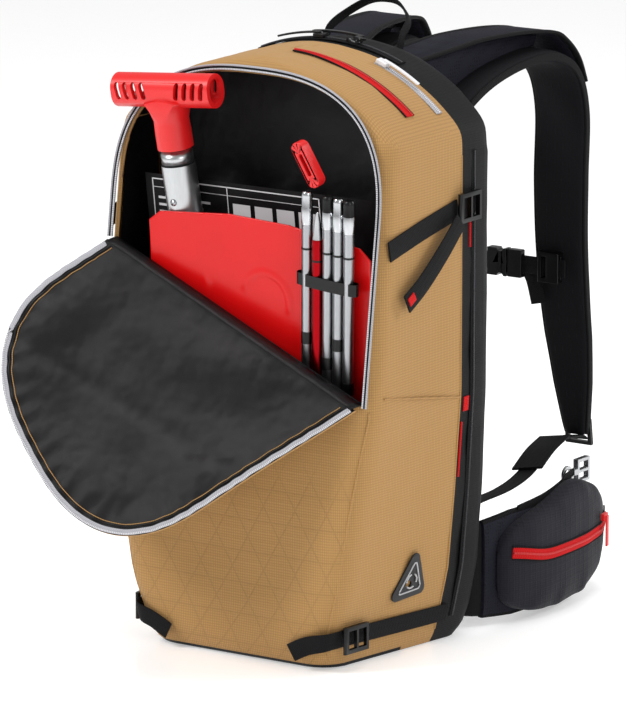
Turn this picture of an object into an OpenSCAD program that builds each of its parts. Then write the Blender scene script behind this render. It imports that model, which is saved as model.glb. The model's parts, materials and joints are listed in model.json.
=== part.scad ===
// Avalanche airbag backpack with a side-opening tool pocket, shovel and probe.
// Origin: centre of the flat base. +Z up, -Y towards the tool pocket, +Y towards the wearer.

/* [Pack] */
// Width of the body at its widest
pack_w = 314; // [290:1:380]
// Height of the body to the top of its dome
pack_h = 571; // [560:1:690]
// Distance from the origin to the back face
back_y = 110; // [104:1:132]
// Distance from the origin to the front face at the right end of the fold
front_y = 106; // [98:1:128]
// Backward lean of the opening's plane, in degrees
opening_lean = 7.6; // [5:0.1:9]
// Radius of the dome across the top
dome_r = 210; // [200:1:260]
// Thickness of the shell's fabric with its padding
shell_t = 3; // [2:0.1:3.4]
// Distance from the origin forward of which the sides are tan
cover_front_y = 48; // [44:1:54]
// Distance from the origin at which the airbag cover meets the back panel
cover_back_y = 88; // [82:1:92]

/* [Tool pocket] */
// Half of the opening's width
opening_half = 147; // [130:1:149]
// Height of the fold's right end
fold_z = 262; // [240:1:280]
// How much higher the fold's left end is
fold_rise = 128; // [100:1:150]
// Height of the opening's highest point above the fold's right end
opening_rise = 298; // [280:1:300]
// How far the flap is folded open, in degrees
flap_open = 158; // [140:1:165]
// Thickness of the flap
flap_t = 3; // [2:0.1:4]
// Height of the pocket's floor
pocket_floor = 108; // [90:1:120]
// Thickness of the lining
liner_t = 1.6; // [1:0.1:2]
// Distance from the origin forward of which the pocket lies
pocket_back_y = 10; // [8:1:16]

/* [Webbing] */
// Width of the compression and shoulder webbing
webbing_w = 20; // [16:1:25]
// Thickness of the webbing
webbing_t = 1.8; // [1.2:0.1:2.4]
// Width of a shoulder strap
strap_w = 58; // [50:1:66]
// Thickness of a shoulder strap
strap_t = 14; // [10:1:16]
// Half of the distance between the two hanging straps
strap_x = 90; // [84:1:98]

/* [Hip belt] */
// Height of a wing
wing_h = 104; // [90:1:108]
// Thickness of a wing's pad
wing_t = 12; // [8:1:14]
// Thickness of a hip pocket
hip_pocket_t = 20; // [14:1:24]

/* [Tools] */
// Outer diameter of the shovel's lower tube
tube_d = 33; // [28:0.5:34]
// Wall of the shovel's tubes
tube_wall = 1.6; // [1.2:0.1:2]
// Radial clearance between the telescoping tubes
tube_gap = 0.5; // [0.3:0.1:0.8]
// Width of the T-grip
grip_w = 124; // [110:1:128]
// Width of the shovel's blade
blade_w = 250; // [220:1:254]
// Length of the shovel's blade
blade_l = 306; // [260:1:315]
// Thickness of the blade's sheet
blade_t = 3; // [2:0.1:3.5]
// Diameter of a probe segment
probe_d = 11; // [9:0.5:12]
// Length of a folded probe segment
probe_l = 345; // [300:1:370]
// Clearance between stowed tools
tool_gap = 1.2; // [0.6:0.1:2]
// Forward lean of the stowed tools, in degrees
tool_lean = 7.8; // [6:0.1:9]

/* [Airbag] */
// Diameter of the gas cylinder
cylinder_d = 60; // [50:1:66]
// Length of the gas cylinder's straight body
cylinder_l = 190; // [160:1:210]
// Radius of the cylinder's threaded neck
neck_r = 9; // [7:0.5:12]
// Pull of the trigger handle
trigger_pull = 50; // [40:1:60]

/* [Hidden] */
$fn = 48;

tan_c = "#b8935f";
black_c = "#1c1c20";
navy_c = "#2b2b36";
red_c = "#dc1e1e";
metal_c = "#b8bab8";
grey_c = "#d0d0d4";
gap = 0.4;

// ---- Body outline -------------------------------------------------------------------------
dome_z = pack_h - dome_r;
dome_edge = asin(min(1, pack_w / 2 / dome_r));
dome_start = dome_z + dome_r * cos(dome_edge);
base_inset = [[0, 30], [10, 24], [28, 19], [76, 9], [150, 4], [250, 0]];
front_taper = [[0, 22], [28, 26], [76, 22], [150, 14], [250, 0]];
belly = [[0, -14], [4, -9], [12, -4], [28, 2], [60, 7], [150, 6], [205, 3], [250, 0]];
back_toe = [[0, 10], [12, 3], [28, 0]];
front_corner = 30;
back_corner = 24;
top_round = [[-14, 0], [-8, 2.5], [-3, 8], [0, 16]];

function half_w(z) = pack_w / 2 - lookup(z, base_inset);
function roundoff(z) = lookup(z - pack_h, top_round);
function plane_y(z) = -front_y + (z - fold_z) * tan(opening_lean);
function front_at(z) = (z > fold_z ? plane_y(z) : -front_y - lookup(z, belly)) + roundoff(z);
function back_at(z) = back_y - lookup(z, back_toe) - roundoff(z);
function corner(cx, cy, r, from) = [for (k = [0:5]) let (a = from + 18 * k)
  [cx + r * cos(a), cy + r * sin(a)]];
function body_ring(z, w, t) = let (
    wf = w - lookup(z, front_taper) * (z > dome_start ? 0 : 1),
    yf = front_at(z) + t,
    yb = back_at(z) - t,
    rf = min(lookup(z, [[0, front_corner], [200, front_corner], [262, 20]]) - t, wf * 0.9),
    rb = min(back_corner - t, w * 0.9),
    flat = concat(
      corner(w - rb, yb - rb, rb, 0), corner(rb - w, yb - rb, rb, 90),
      corner(rf - wf, yf + rf, rf, 180), corner(wf - rf, yf + rf, rf, 270)))
  [for (p = flat) [p.x, p.y, z]];
function body_rings(t) = concat(
  [for (z = [t, 4 + t / 2, 12, 28, 52, 76, 112, 150, 205, fold_z]) body_ring(z, half_w(z) - t, t)],
  [for (k = [1:5]) let (z = fold_z + k / 5 * (dome_start - fold_z)) body_ring(z, half_w(z) - t, t)],
  [for (k = [1:9]) let (a = dome_edge * (1 - k / 9.6))
    body_ring(dome_z + (dome_r - t) * cos(a), (dome_r - t) * sin(a), t)]);

// A closed solid through rings of points, each ring anticlockwise about the way it runs. Each
// four-sided patch is split along its shorter diagonal, so that mirrored halves match.
module loft(rings) {
  n = len(rings[0]);
  m = len(rings);
  sides = [for (k = [0:m - 2], i = [0:n - 1]) let (
      j = (i + 1) % n,
      a = k * n + i, b = (k + 1) * n + i, c = (k + 1) * n + j, d = k * n + j)
    each norm(rings[k][i] - rings[k + 1][j]) < norm(rings[k][j] - rings[k + 1][i])
      ? [[a, b, c], [a, c, d]] : [[a, b, d], [b, c, d]]];
  polyhedron(
    points = [for (r = rings) each r],
    faces = concat([[for (i = [0:n - 1]) i]], sides, [[for (i = [n - 1:-1:0]) (m - 1) * n + i]]),
    convexity = 8);
}

// Joins what it holds into one closed skin, at its own size.
module as_skin() {
  resize([0, 0, 0]) children();
}

module body_skin(outer, inner) {
  difference() {
    loft(body_rings(outer));
    loft(body_rings(inner));
  }
}

// ---- Sweeps -------------------------------------------------------------------------------
function unit(v) = v / norm(v);
function along(p, i) = unit(p[min(i + 1, len(p) - 1)] - p[max(i - 1, 0)]);
function strip_section(w, t) = let (c = min(t, w) / 2 * 0.8)
  [[w / 2, -t / 2 + c], [w / 2, t / 2 - c], [w / 2 - c, t / 2], [c - w / 2, t / 2],
   [-w / 2, t / 2 - c], [-w / 2, c - t / 2], [c - w / 2, -t / 2], [w / 2 - c, -t / 2]];
function round_section(d, n) = [for (k = [0:n - 1]) d / 2 * [cos(360 * k / n), sin(360 * k / n)]];
function sweep_ring(p, t, side, section) = let (
    e1 = unit(side - (side * t) * t), e2 = cross(t, e1))
  [for (s = section) p + s.x * e1 + s.y * e2];
// A point on a smooth curve through p, at k + f.
function spline(p, k, f) = let (
    a = p[max(k - 1, 0)], b = p[k], c = p[k + 1], d = p[min(k + 2, len(p) - 1)])
  0.5 * ((2 * b) + (c - a) * f + (2 * a - 5 * b + 4 * c - d) * f * f
    + (3 * b - a - 3 * c + d) * f * f * f);
function smooth(p, n = 3) = concat(
  [for (k = [0:len(p) - 2], i = [0:n - 1]) spline(p, k, i / n)], [p[len(p) - 1]]);

// A band of width w and thickness t along path p, its width along side.
module band(p, w, t, side) {
  q = smooth(p);
  loft([for (i = [0:len(q) - 1]) sweep_ring(q[i], along(q, i), side, strip_section(w, t))]);
}

// A band whose width at each point of p is in ws.
module tapered_band(p, ws, t, side) {
  q = smooth(p);
  w = smooth([for (v = ws) [v, 0, 0]]);
  loft([for (i = [0:len(q) - 1]) sweep_ring(q[i], along(q, i), side, strip_section(w[i].x, t))]);
}

module tube_along(p, d) {
  q = smooth(p);
  loft([for (i = [0:len(q) - 1]) sweep_ring(q[i], along(q, i), [0.9, 0.1, 0.3], round_section(d, 8))]);
}

module both_sides() {
  children();
  mirror([1, 0, 0]) children();
}

module on_side(left) {
  mirror([left ? 1 : 0, 0, 0]) children();
}

module block(low, high) {
  translate(low) cube(high - low);
}

// ---- Opening, fold and flap ---------------------------------------------------------------
arch_rise = 130;
arch_power = 2.6;
fold_gap = 4;
fold_strip = 4;
function arch(t) = [
  opening_half * sign(cos(t)) * pow(abs(cos(t)), 2 / arch_power),
  opening_rise - arch_rise + arch_rise * pow(sin(t), 2 / arch_power)];
opening_outline = concat(
  [[opening_half, 0]], [for (t = [0:6:180]) arch(t)], [[-opening_half, fold_rise]]);
fold_dir = [2 * opening_half, -fold_rise, 0];
fold_end = [opening_half, 0, fold_gap];

module on_opening() {
  translate([0, -front_y, fold_z]) rotate([90 - opening_lean, 0, 0]) children();
}

module on_flap() {
  on_opening() translate(fold_end) rotate(a = flap_open, v = fold_dir)
    translate(-fold_end) children();
}

module below_fold(rise) {
  up = rise / cos(atan(fold_rise / (2 * opening_half)));
  w = opening_half * 1.5;
  tilt = fold_rise / (2 * opening_half);
  polygon([
    [w, up - tilt * (w - opening_half)], [-w, up + tilt * (w + opening_half)], [-w, -w], [w, -w]]);
}

module opening_cut() {
  on_opening() translate([0, 0, -26]) linear_extrude(40) polygon(opening_outline);
}

module front_region() {
  seam = 9;
  reach = pack_w;
  rotate([90, 0, 90]) linear_extrude(2 * reach, center = true) polygon([
    [-reach, shell_t], [-reach, pack_h + 10], [plane_y(pack_h) + seam, pack_h + 10],
    [plane_y(fold_z) + seam, fold_z], [seam - front_y, shell_t]]);
}

module tan_block(x0, x1, z0, z1) {
  block([x0, -pack_w, z0], [x1, cover_front_y, z1]);
}

// ---- Shell panels -------------------------------------------------------------------------
module front_panel() {
  color(tan_c) as_skin() intersection() {
    difference() {
      body_skin(0, shell_t);
      opening_cut();
    }
    front_region();
  }
}

module shell_part() {
  as_skin() intersection() {
    difference() {
      body_skin(0, shell_t);
      opening_cut();
      front_region();
    }
    children();
  }
}

module side_panel(left) {
  color(tan_c) on_side(left) shell_part()
    tan_block(20, pack_w, shell_t + 0.1, dome_start - 0.1);
}

module top_panel() {
  color(tan_c) shell_part() tan_block(-pack_w, pack_w, dome_start, pack_h + 10);
}

module base_panel() {
  color(black_c) as_skin() intersection() {
    body_skin(0, shell_t);
    block([-pack_w, -pack_w, -1], [pack_w, cover_back_y, shell_t]);
  }
}

// The cover is sewn from two side strips and a top strip.
cover_seam_z = dome_start - 12;
module airbag_cover() {
  color(black_c) as_skin() intersection() {
    body_skin(0, shell_t);
    union() {
      both_sides() block([20, cover_front_y, shell_t + 0.1], [pack_w, cover_back_y, cover_seam_z]);
      block([-pack_w, cover_front_y, cover_seam_z + gap], [pack_w, cover_back_y, pack_h + 10]);
    }
  }
}

cable_port = [-64, back_y, 505];
cable_d = 5;
module back_panel() {
  color(black_c) as_skin() difference() {
    intersection() {
      body_skin(0, shell_t);
      block([-pack_w, cover_back_y, -1], [pack_w, back_y + 10, pack_h + 10]);
    }
    translate(cable_port) rotate([90, 0, 0]) cylinder(d = cable_d + 3, h = 40, center = true);
  }
}

liner_out = shell_t + gap;
module pocket_liner() {
  color("#34313a") as_skin() difference() {
    intersection() {
      body_skin(liner_out, liner_out + liner_t);
      block([-pack_w, -pack_w, pocket_floor], [pack_w, -pocket_back_y, pack_h + 10]);
    }
    opening_cut();
  }
}

module opening_zip_tape() {
  color(grey_c) on_opening() translate([0, 0, -1]) linear_extrude(2.2) difference() {
    offset(delta = 4) polygon(opening_outline);
    offset(delta = -0.8) polygon(opening_outline);
    below_fold(0);
  }
}

module flap_panel() {
  color(black_c) on_flap() translate([0, 0, fold_gap - flap_t / 2]) linear_extrude(flap_t)
    difference() {
      polygon(opening_outline);
      below_fold(fold_strip);
    }
}

module flap_zip_tape() {
  tape_t = 1.4;
  color(grey_c) on_flap() translate([0, 0, fold_gap - flap_t / 2 - tape_t]) linear_extrude(tape_t)
    difference() {
      polygon(opening_outline);
      offset(delta = -9) polygon(opening_outline);
      below_fold(fold_strip);
    }
}

// ---- Zips on the dome ---------------------------------------------------------------------
// A piece of ring about the dome's own axis, from angle a to angle b off vertical.
module dome_arc(y, w, lift, t, a, b) {
  translate([0, y, dome_z]) rotate([90, 0, 0]) rotate([0, 0, 90 - b]) rotate_extrude(angle = b - a)
    translate([dome_r + lift, -w / 2]) square([t, w]);
}

function dome_angle(x) = asin(x / dome_r);
red_zip_y = -10;
white_zip_y = 34;
main_zip_y = 62;
zip_t = 1.3;

module top_zips() {
  color(red_c) dome_arc(red_zip_y, 10, gap, zip_t, dome_angle(6), dome_angle(136));
  color(grey_c) dome_arc(white_zip_y, 9, gap, zip_t, dome_angle(70), dome_angle(140));
  color(black_c) dome_arc(main_zip_y, 12, gap, zip_t, -dome_angle(80), dome_angle(80));
}

slider_lift = gap + zip_t + 0.3;
module zip_slider(y, x, pull, w = 10) {
  a = dome_angle(x);
  dome_arc(y, w, slider_lift, 4, a - 1.6, a + 1.6);
  dome_arc(y, w * 0.5, slider_lift + 4, 2, min(a, a + pull), max(a, a + pull));
}

module white_zip_slider() {
  color(grey_c) zip_slider(white_zip_y, 76, 11.5, 9);
}

module main_zip_slider_left() {
  color(black_c) zip_slider(main_zip_y, -12, -13, 10);
}

module main_zip_slider_right() {
  color(black_c) {
    zip_slider(main_zip_y, 26, 3, 10);
    dome_arc(main_zip_y + 8.5, 5, slider_lift + 4, 2, dome_angle(26) - 14, dome_angle(26) + 1);
    dome_arc(main_zip_y + 5, 10, slider_lift + 4, 2, dome_angle(26), dome_angle(26) + 1);
  }
}

// ---- Trim on the sides --------------------------------------------------------------------
patch_z = 78;
patch_y = -8;
// Half width of the side wall at y and z, between its rounded corners.
function side_w(y, z) = let (
    w = half_w(z),
    wf = w - lookup(z, front_taper),
    y0 = front_at(z) + front_corner,
    y1 = back_at(z) - back_corner)
  wf + (w - wf) * (y - y0) / (y1 - y0);

module side_patch() {
  lean = atan((side_w(patch_y, patch_z + 22) - side_w(patch_y, patch_z - 22)) / 44);
  turn = atan((side_w(patch_y + 10, patch_z) - side_w(patch_y - 10, patch_z)) / 20);
  color(black_c) translate([side_w(patch_y, patch_z) + gap, patch_y, patch_z]) rotate([0, 0, -turn])
    rotate([0, lean, 0]) rotate([90, 0, 90]) linear_extrude(1.6) difference() {
      hull() for (p = [[-17, -16], [17, -14], [4, 18]]) translate(p) circle(r = 6, $fn = 24);
      translate([-1.5, -7]) circle(r = 4);
    }
}

side_x = pack_w / 2 + gap + webbing_t / 2 + 0.4;
comp_z = 412;
comp_front_y = -78;
comp_back_y = 34;
comp_rise = 17;
tail_drop = 58;
comp_buckle = [side_x + 2.6, comp_back_y + 18, comp_z + comp_rise];
module compression_straps() {
  color(black_c) both_sides() {
    band([[side_x, comp_front_y, comp_z - 6], [side_x, -20, comp_z + 6],
      [side_x, comp_back_y, comp_z + comp_rise - 2]], webbing_w, webbing_t, [0, 0, 1]);
    band([[side_x + 8.4, comp_back_y - 2, comp_z + comp_rise - 10], [side_x + 8.4, 4, comp_z - 16],
      [side_x + 7.4, -30, comp_z - 42], [side_x + 6.6, -58, comp_z - tail_drop]],
      webbing_w, webbing_t, [0, 0, 1]);
    block([side_x + gap, comp_back_y + 26, comp_z + comp_rise - 8],
      [side_x + gap + 1.4, comp_back_y + 44, comp_z + comp_rise + 8]);
  }
}

// A ladder lock about its web bar: frame w wide and l long, with two cross bars.
module ladder_lock(w, l, t) {
  difference() {
    translate([0, -w / 2, 0]) cube([l, w, t]);
    for (x = [3.2, l / 2 + 1.2])
      translate([x, 4 - w / 2, -1]) cube([l / 2 - 4.6, w - 8, t + 2]);
  }
  translate([0, 0, t / 2]) rotate([90, 0, 0]) cylinder(d = t, h = w, center = true);
}

module compression_buckle(left) {
  color(black_c) on_side(left) translate(comp_buckle + [0, -16, 0])
    rotate([0, 0, 90]) rotate([90, 0, 0]) ladder_lock(webbing_w + 8, 34, 4.5);
}

base_strap_z = 31;
base_x = half_w(base_strap_z);
base_fx = base_x - lookup(base_strap_z, front_taper);
base_fy = front_at(base_strap_z);
base_off = gap + webbing_t / 2 + 0.9;
base_buckle = [base_fx + base_off + 2.4, base_fy + 30, base_strap_z];
module base_straps() {
  color(black_c) both_sides()
    band([[base_fx - 42, base_fy - base_off - 0.4, base_strap_z - 14],
      [base_fx - 24, base_fy - base_off - 0.8, base_strap_z - 5],
      [base_fx - 4, base_fy + 4 - base_off, base_strap_z],
      [side_w(base_fy + 28, base_strap_z) + base_off + 1, base_fy + 28, base_strap_z + 1],
      [side_w(-20, base_strap_z) + base_off + 0.6, -20, base_strap_z],
      [side_w(56, base_strap_z) + base_off + 0.6, 56, base_strap_z - 1]],
      webbing_w - 2, webbing_t, [0.2, -0.1, 1]);
}

module base_buckle_solid(left) {
  turn = atan((base_x - base_fx) / (back_y - base_fy));
  color(black_c) on_side(left) translate(base_buckle + [0.6, -14, 0]) rotate([0, 0, 90 - turn])
    rotate([90, 0, 0]) ladder_lock(webbing_w + 6, 32, 4);
}

// ---- Back, frame and harness --------------------------------------------------------------
module back_pads() {
  pad_y = back_y + gap;
  color(navy_c) {
    both_sides() hull() for (x = [26, 98], z = [140, 430])
      translate([x, pad_y, z]) rotate([-90, 0, 0]) cylinder(r1 = 14, r2 = 8, h = 11, $fn = 20);
    hull() for (x = [-80, 80], z = [24, 96])
      translate([x, pad_y, z]) rotate([-90, 0, 0]) cylinder(r1 = 20, r2 = 10, h = 34, $fn = 20);
  }
}

sheet_y = back_y - shell_t - 6;
module frame_sheet() {
  color("#3c3c40") difference() {
    translate([-118, sheet_y, 40]) cube([236, 2, 440]);
    for (z = [140, 260, 380]) translate([0, sheet_y - 1, z]) rotate([-90, 0, 0]) cylinder(d = 40, h = 4);
  }
}

module frame_stays() {
  color(metal_c) both_sides() translate([52, sheet_y - 3.4, 45]) cube([20, 3, 430]);
}

// One folded bladder stands in each side channel, under the cover.
bladder_w = 26;
module airbag_bladders() {
  x = pack_w / 2 - shell_t - 8 - bladder_w / 2;
  y = (cover_front_y + cover_back_y) / 2;
  color("#c8481e") both_sides()
    band([[x, y, 165], [x, y, 260], [x, y, 370], [x, y, dome_start - 30]], 28, bladder_w, [0, 1, 0]);
}

cyl_x = -64;
cyl_y = 40;
cyl_z0 = 40;
neck_z = cyl_z0 + cylinder_l + 24;
head_h = 50;
head_z = neck_z + 1;
head_r = 22;
pin_r = 3;
pin_top = head_h + 10;
lever_arm = 14;
module gas_cylinder() {
  r = cylinder_d / 2;
  color(metal_c) translate([cyl_x, cyl_y, cyl_z0]) rotate_extrude() difference() {
      polygon([[0, 0], [r - 8, 0], [r, 8], [r, cylinder_l], [neck_r, cylinder_l + 20],
        [neck_r, cylinder_l + 42], [0, cylinder_l + 42]]);
      polygon([[0, 4], [r - 10, 4], [r - 3, 10], [r - 3, cylinder_l - 2],
        [neck_r - 3, cylinder_l + 17], [neck_r - 3, cylinder_l + 36], [0, cylinder_l + 36]]);
  }
}

module inflator_body() {
  color("#2a2a2e") translate([cyl_x, cyl_y, head_z]) difference() {
    union() {
      cylinder(r = head_r, h = head_h);
      translate([0, 0, 30]) rotate([0, 90, 0]) cylinder(r = 12, h = 60);
      for (s = [-1, 1]) translate([-lever_arm - 4, s * 5.8 - 1.2, head_h - 1])
        cube([8, 2.4, pin_top - head_h + 8]);
    }
    translate([-lever_arm, 0, pin_top + 3 + gap]) rotate([90, 0, 0])
      cylinder(r = lever_pin_r + 0.1, h = 20, center = true);
    translate([0, 0, -1]) cylinder(r = neck_r + 0.4, h = 24);
    translate([0, 0, -1]) cylinder(r = pin_r + 0.1, h = head_h + 2);
    translate([head_r - 8, 0, 30]) rotate([0, 90, 0]) cylinder(r = 9, h = 60);
  }
}

module piercing_pin() {
  color(metal_c) translate([cyl_x, cyl_y, head_z]) {
    translate([0, 0, 28.5]) cylinder(r1 = 0.6, r2 = pin_r, h = 6);
    translate([0, 0, 34.5]) cylinder(r = pin_r, h = pin_top - 34.5);
  }
}

lever_pivot = [cyl_x - lever_arm, cyl_y, head_z + pin_top + 3 + gap];
lever_hub = 5;
lever_pin_r = 1.9;
module inflator_lever() {
  color(red_c) translate(lever_pivot) {
    rotate([90, 0, 0]) {
      cylinder(r = lever_hub, h = 8, center = true);
      translate([lever_arm, 0, 0]) cube([2 * lever_arm, 6, 5], center = true);
      cylinder(r = lever_pin_r, h = 14, center = true);
    }
  }
}

module pressure_gauge() {
  color(metal_c) translate([cyl_x, cyl_y - head_r - 0.2, head_z + 30]) rotate([90, 0, 0]) {
    cylinder(r = 5, h = 6);
    translate([0, 0, 6]) cylinder(r = 14, h = 9);
  }
}

// The trigger cable's route, from the inflator's lever out to the left shoulder strap.
cable_route = [
  [-50, 40, 330], [-44, 44, 380], [-46, 58, 430], [-55, 78, 475], [-62, 98, 500],
  [-64, 118, 508], [-66, 140, 516], [-68, 170, 527], [-71, 205, 538], [-76, 245, 547],
  [-81, 285, 546], [-86, 318, 540], [-89, 344, 510], [-90, 352, 472],
  [-90, 352, 441]];
module trigger_cable() {
  color(black_c) tube_along(cable_route, cable_d);
}

cable_end_y = 352;
housing_z = 440;
module trigger_housing() {
  color(black_c) translate([-strap_x, cable_end_y, housing_z - 42]) {
    difference() {
      cylinder(r = 8, h = 42);
      translate([0, 0, -1]) cylinder(r = 5.5, h = 38);
    }
    difference() {
      translate([-7, -9.7, 0]) cube([14, 5, 42]);
      translate([0, 0, -1]) cylinder(r = 5.5, h = 38);
    }
  }
}

module trigger_handle() {
  color(red_c) translate([-strap_x, cable_end_y, housing_z - 42]) {
    translate([0, 0, -2]) cylinder(r = 5, h = 36);
    translate([0, 0, -16]) rotate([0, 90, 0]) cylinder(r = 6.4, h = 60, center = true);
  }
}

strap_route = [
  [62, back_y + 9, 450], [65, back_y + 22, 486], [70, back_y + 68, 516], [76, 236, 531],
  [82, 288, 533], [87, 322, 514], [strap_x, 335, 472], [strap_x, 334, 405], [strap_x, 336, 340],
  [strap_x, 344, 277], [strap_x, 356, 215], [strap_x, 366, 156]];
module shoulder_strap(left) {
  color(black_c) on_side(left) tapered_band(strap_route,
    [strap_w + 6, strap_w + 6, strap_w + 4, strap_w, strap_w, strap_w, strap_w, strap_w,
     strap_w - 2, strap_w - 4, strap_w - 10, strap_w - 24], strap_t, [1, 0, 0]);
}

module yoke_panels() {
  color(navy_c) both_sides()
    band([[36, back_y + 8.5, 548], [48, back_y + 44, 554], [60, 200, 560], [71, 258, 560],
      [79, 298, 555], [83, 316, 550]],
      strap_w - 8, 2, [1, 0, 0]);
}

webbing_route = [
  [strap_x, 372, 133.5], [strap_x + 2, 357, 139], [strap_x + 8, 300, 143], [strap_x + 18, 243, 126],
  [strap_x + 26, 190, 121], [strap_x + 28, back_y + 26, 120], [strap_x + 26, back_y + 6, 117]];
module shoulder_webbing() {
  color(black_c) both_sides() band(webbing_route, webbing_w, webbing_t, [1, 0, 0.12]);
}

module strap_ladder_locks() {
  color(black_c) both_sides() translate([strap_x, 368, 152]) rotate([-82, 0, 0]) rotate([0, 0, 90])
    translate([-1.5, 0, 0]) ladder_lock(webbing_w + 10, 26, 4);
}

haul_feet = [42, back_y + 6.2, 557];
haul_lean = [0, 0.69, 0.72];
module haul_loop() {
  side = [0, 0.72, -0.69];
  f = haul_feet;
  up = haul_lean;
  color(black_c) band([
    [-f.x, f.y, f.z], [-f.x, f.y + 5, f.z + 14], [-f.x + 6, f.y, f.z] + up * 36,
    [-18, f.y, f.z] + up * 53, [0, f.y, f.z] + up * 57, [18, f.y, f.z] + up * 53,
    [f.x - 6, f.y, f.z] + up * 36, [f.x, f.y + 5, f.z + 14], [f.x, f.y, f.z]],
    10, 2.4, side);
}

// ---- Sternum strap ------------------------------------------------------------------------
chest_z = 315;
chest_y = 323.4;
chest_w = 18;
clip_x = strap_x - 6;
module sternum_sliders() {
  color(black_c) both_sides() difference() {
    block([clip_x - 12, chest_y - 4, chest_z - 15], [clip_x + 12, chest_y + 5.5, chest_z + 15]);
    block([clip_x - 13, chest_y - 1.5, chest_z - 11], [clip_x + 13, chest_y + 1.5, chest_z + 11]);
    block([clip_x - 8, chest_y - 5, chest_z - 11], [clip_x - 2, chest_y, chest_z + 11]);
  }
}

female_x = 14;
male_x = 37;
module sternum_webbing() {
  color(black_c) {
    block([-clip_x - 16, chest_y - 1, chest_z - chest_w / 2], [female_x + 6, chest_y + 1, chest_z + chest_w / 2]);
    block([male_x + 14, chest_y - 1, chest_z - chest_w / 2], [clip_x + 18, chest_y + 1, chest_z + chest_w / 2]);
  }
}

module sternum_buckle_female() {
  color(black_c) difference() {
    block([female_x, chest_y - 5, chest_z - 14], [male_x - 1, chest_y + 5, chest_z + 14]);
    block([female_x - 1, chest_y - 1.4, chest_z - 10], [female_x + 7, chest_y + 1.4, chest_z + 10]);
    block([male_x - 14, chest_y - 3, chest_z - 11], [male_x, chest_y + 3, chest_z + 11]);
    for (s = [-1, 1]) translate([female_x + 15, chest_y, chest_z + s * 15])
      rotate([90, 0, 0]) cylinder(r = 4, h = 12, center = true);
  }
}

module sternum_buckle_male() {
  color(black_c) {
    difference() {
      block([male_x, chest_y - 4, chest_z - 14], [male_x + 16, chest_y + 4, chest_z + 14]);
      block([male_x + 2, chest_y - 1.4, chest_z - 10], [male_x + 17, chest_y + 1.4, chest_z + 10]);
    }
    for (s = [-1, 1]) block([male_x - 11, chest_y - 2.4, chest_z + s * 7.5 - 2.5],
      [male_x, chest_y + 2.4, chest_z + s * 7.5 + 2.5]);
  }
}

// ---- Hip belt -----------------------------------------------------------------------------
wing_z = wing_h / 2 + 4;
wing_r = 400;
wing_mid_y = back_y + 105;
wing_mid_x = 141;
wing_tip = 117;
// A point on the belt's curve, off outside its middle line, at distance d along Y from its middle.
function on_belt(off, d, z) = [
  wing_mid_x - wing_r + sqrt(pow(wing_r + off, 2) - d * d), wing_mid_y + d, z];
module hip_wing(left) {
  color(navy_c) on_side(left) tapered_band(
    [for (d = [-89, -55, -10, 35, 80, wing_tip]) on_belt(0, d, wing_z)],
    [wing_h - 8, wing_h, wing_h, wing_h, wing_h - 10, wing_h - 44], wing_t, [0, 0, 1]);
}

pocket_off = wing_t / 2 + gap + hip_pocket_t / 2;
module hip_pocket(left) {
  color(navy_c) on_side(left) tapered_band(
    [for (d = [-47, -10, 35, 75, wing_tip - 10]) on_belt(pocket_off, d, wing_z - 4)],
    [wing_h - 28, wing_h - 16, wing_h - 16, wing_h - 20, wing_h - 44], hip_pocket_t, [0, 0, 1]);
}

hip_slider_off = pocket_off + hip_pocket_t / 2 + 2 * gap;
module hip_zip_slider(left) {
  turn = asin(92 / (wing_r + hip_slider_off));
  color(black_c) on_side(left) translate([wing_mid_x - wing_r, wing_mid_y, wing_z])
    rotate([0, 0, turn]) translate([wing_r + hip_slider_off, 0, 0]) {
      block([0, -5.5, 16], [4, 5.5, 23]);
      block([4, -3, -10], [5.6, 3, 21]);
    }
}

loop_y = 306;
loop_x = 134;
loop_z = wing_z + wing_h / 2 + gap;
hook_reach = 15.5;
hook_pin_r = 1.5;
module belt_buckle_loop() {
  color(metal_c) translate([loop_x, loop_y, loop_z]) {
    difference() {
      block([-3, -11, 0], [3, 11, 24]);
      block([-4, -8, 3], [4, 8, 10]);
      block([-4, -8, 13], [4, 8, 20.6]);
    }
    for (s = [-1, 1]) translate([s * 2.4 - 0.6, -hook_reach - 2.4, 9]) cube([1.2, 6.9, 6]);
    translate([0, -hook_reach, 12]) rotate([0, 90, 0]) cylinder(r = hook_pin_r, h = 5, center = true);
  }
}

module belt_buckle_hook() {
  color(metal_c) translate([loop_x, loop_y - hook_reach, loop_z + 12]) rotate([0, 90, 0])
    difference() {
      union() {
        cylinder(r = 3.6, h = 3, center = true);
        translate([0, -12, 0]) cylinder(r = 8.5, h = 3, center = true);
        translate([0, -4, 0]) cube([5, 6, 3], center = true);
      }
      cylinder(r = hook_pin_r + 0.1, h = 10, center = true);
      translate([0, -12, 0]) cylinder(r = 5, h = 10, center = true);
    }
}

// ---- Shovel and probe ---------------------------------------------------------------------
tube_r = tube_d / 2;
inner_r = tube_r - tube_wall - tube_gap;
floor_top = pocket_floor + liner_t + gap;
grip_z = 430;
grip_x = -86;
shaft_turn = -4.4;
blade_turn = 3;
probe_turn = 5.4;
sleeve_gap = 1.6;
tools_y = -(tube_r + sleeve_gap + pocket_back_y + 1);
shaft_foot = 96;
grip_y = 28;
grip_h = 33;

module in_pocket() {
  translate([0, tools_y, floor_top]) rotate([tool_lean, 0, 0]) children();
}

// Along the shovel's handle: z = 0 at the middle of the grip.
module on_shaft() {
  in_pocket() translate([grip_x, 0, grip_z]) rotate([0, shaft_turn, 0]) children();
}

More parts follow.
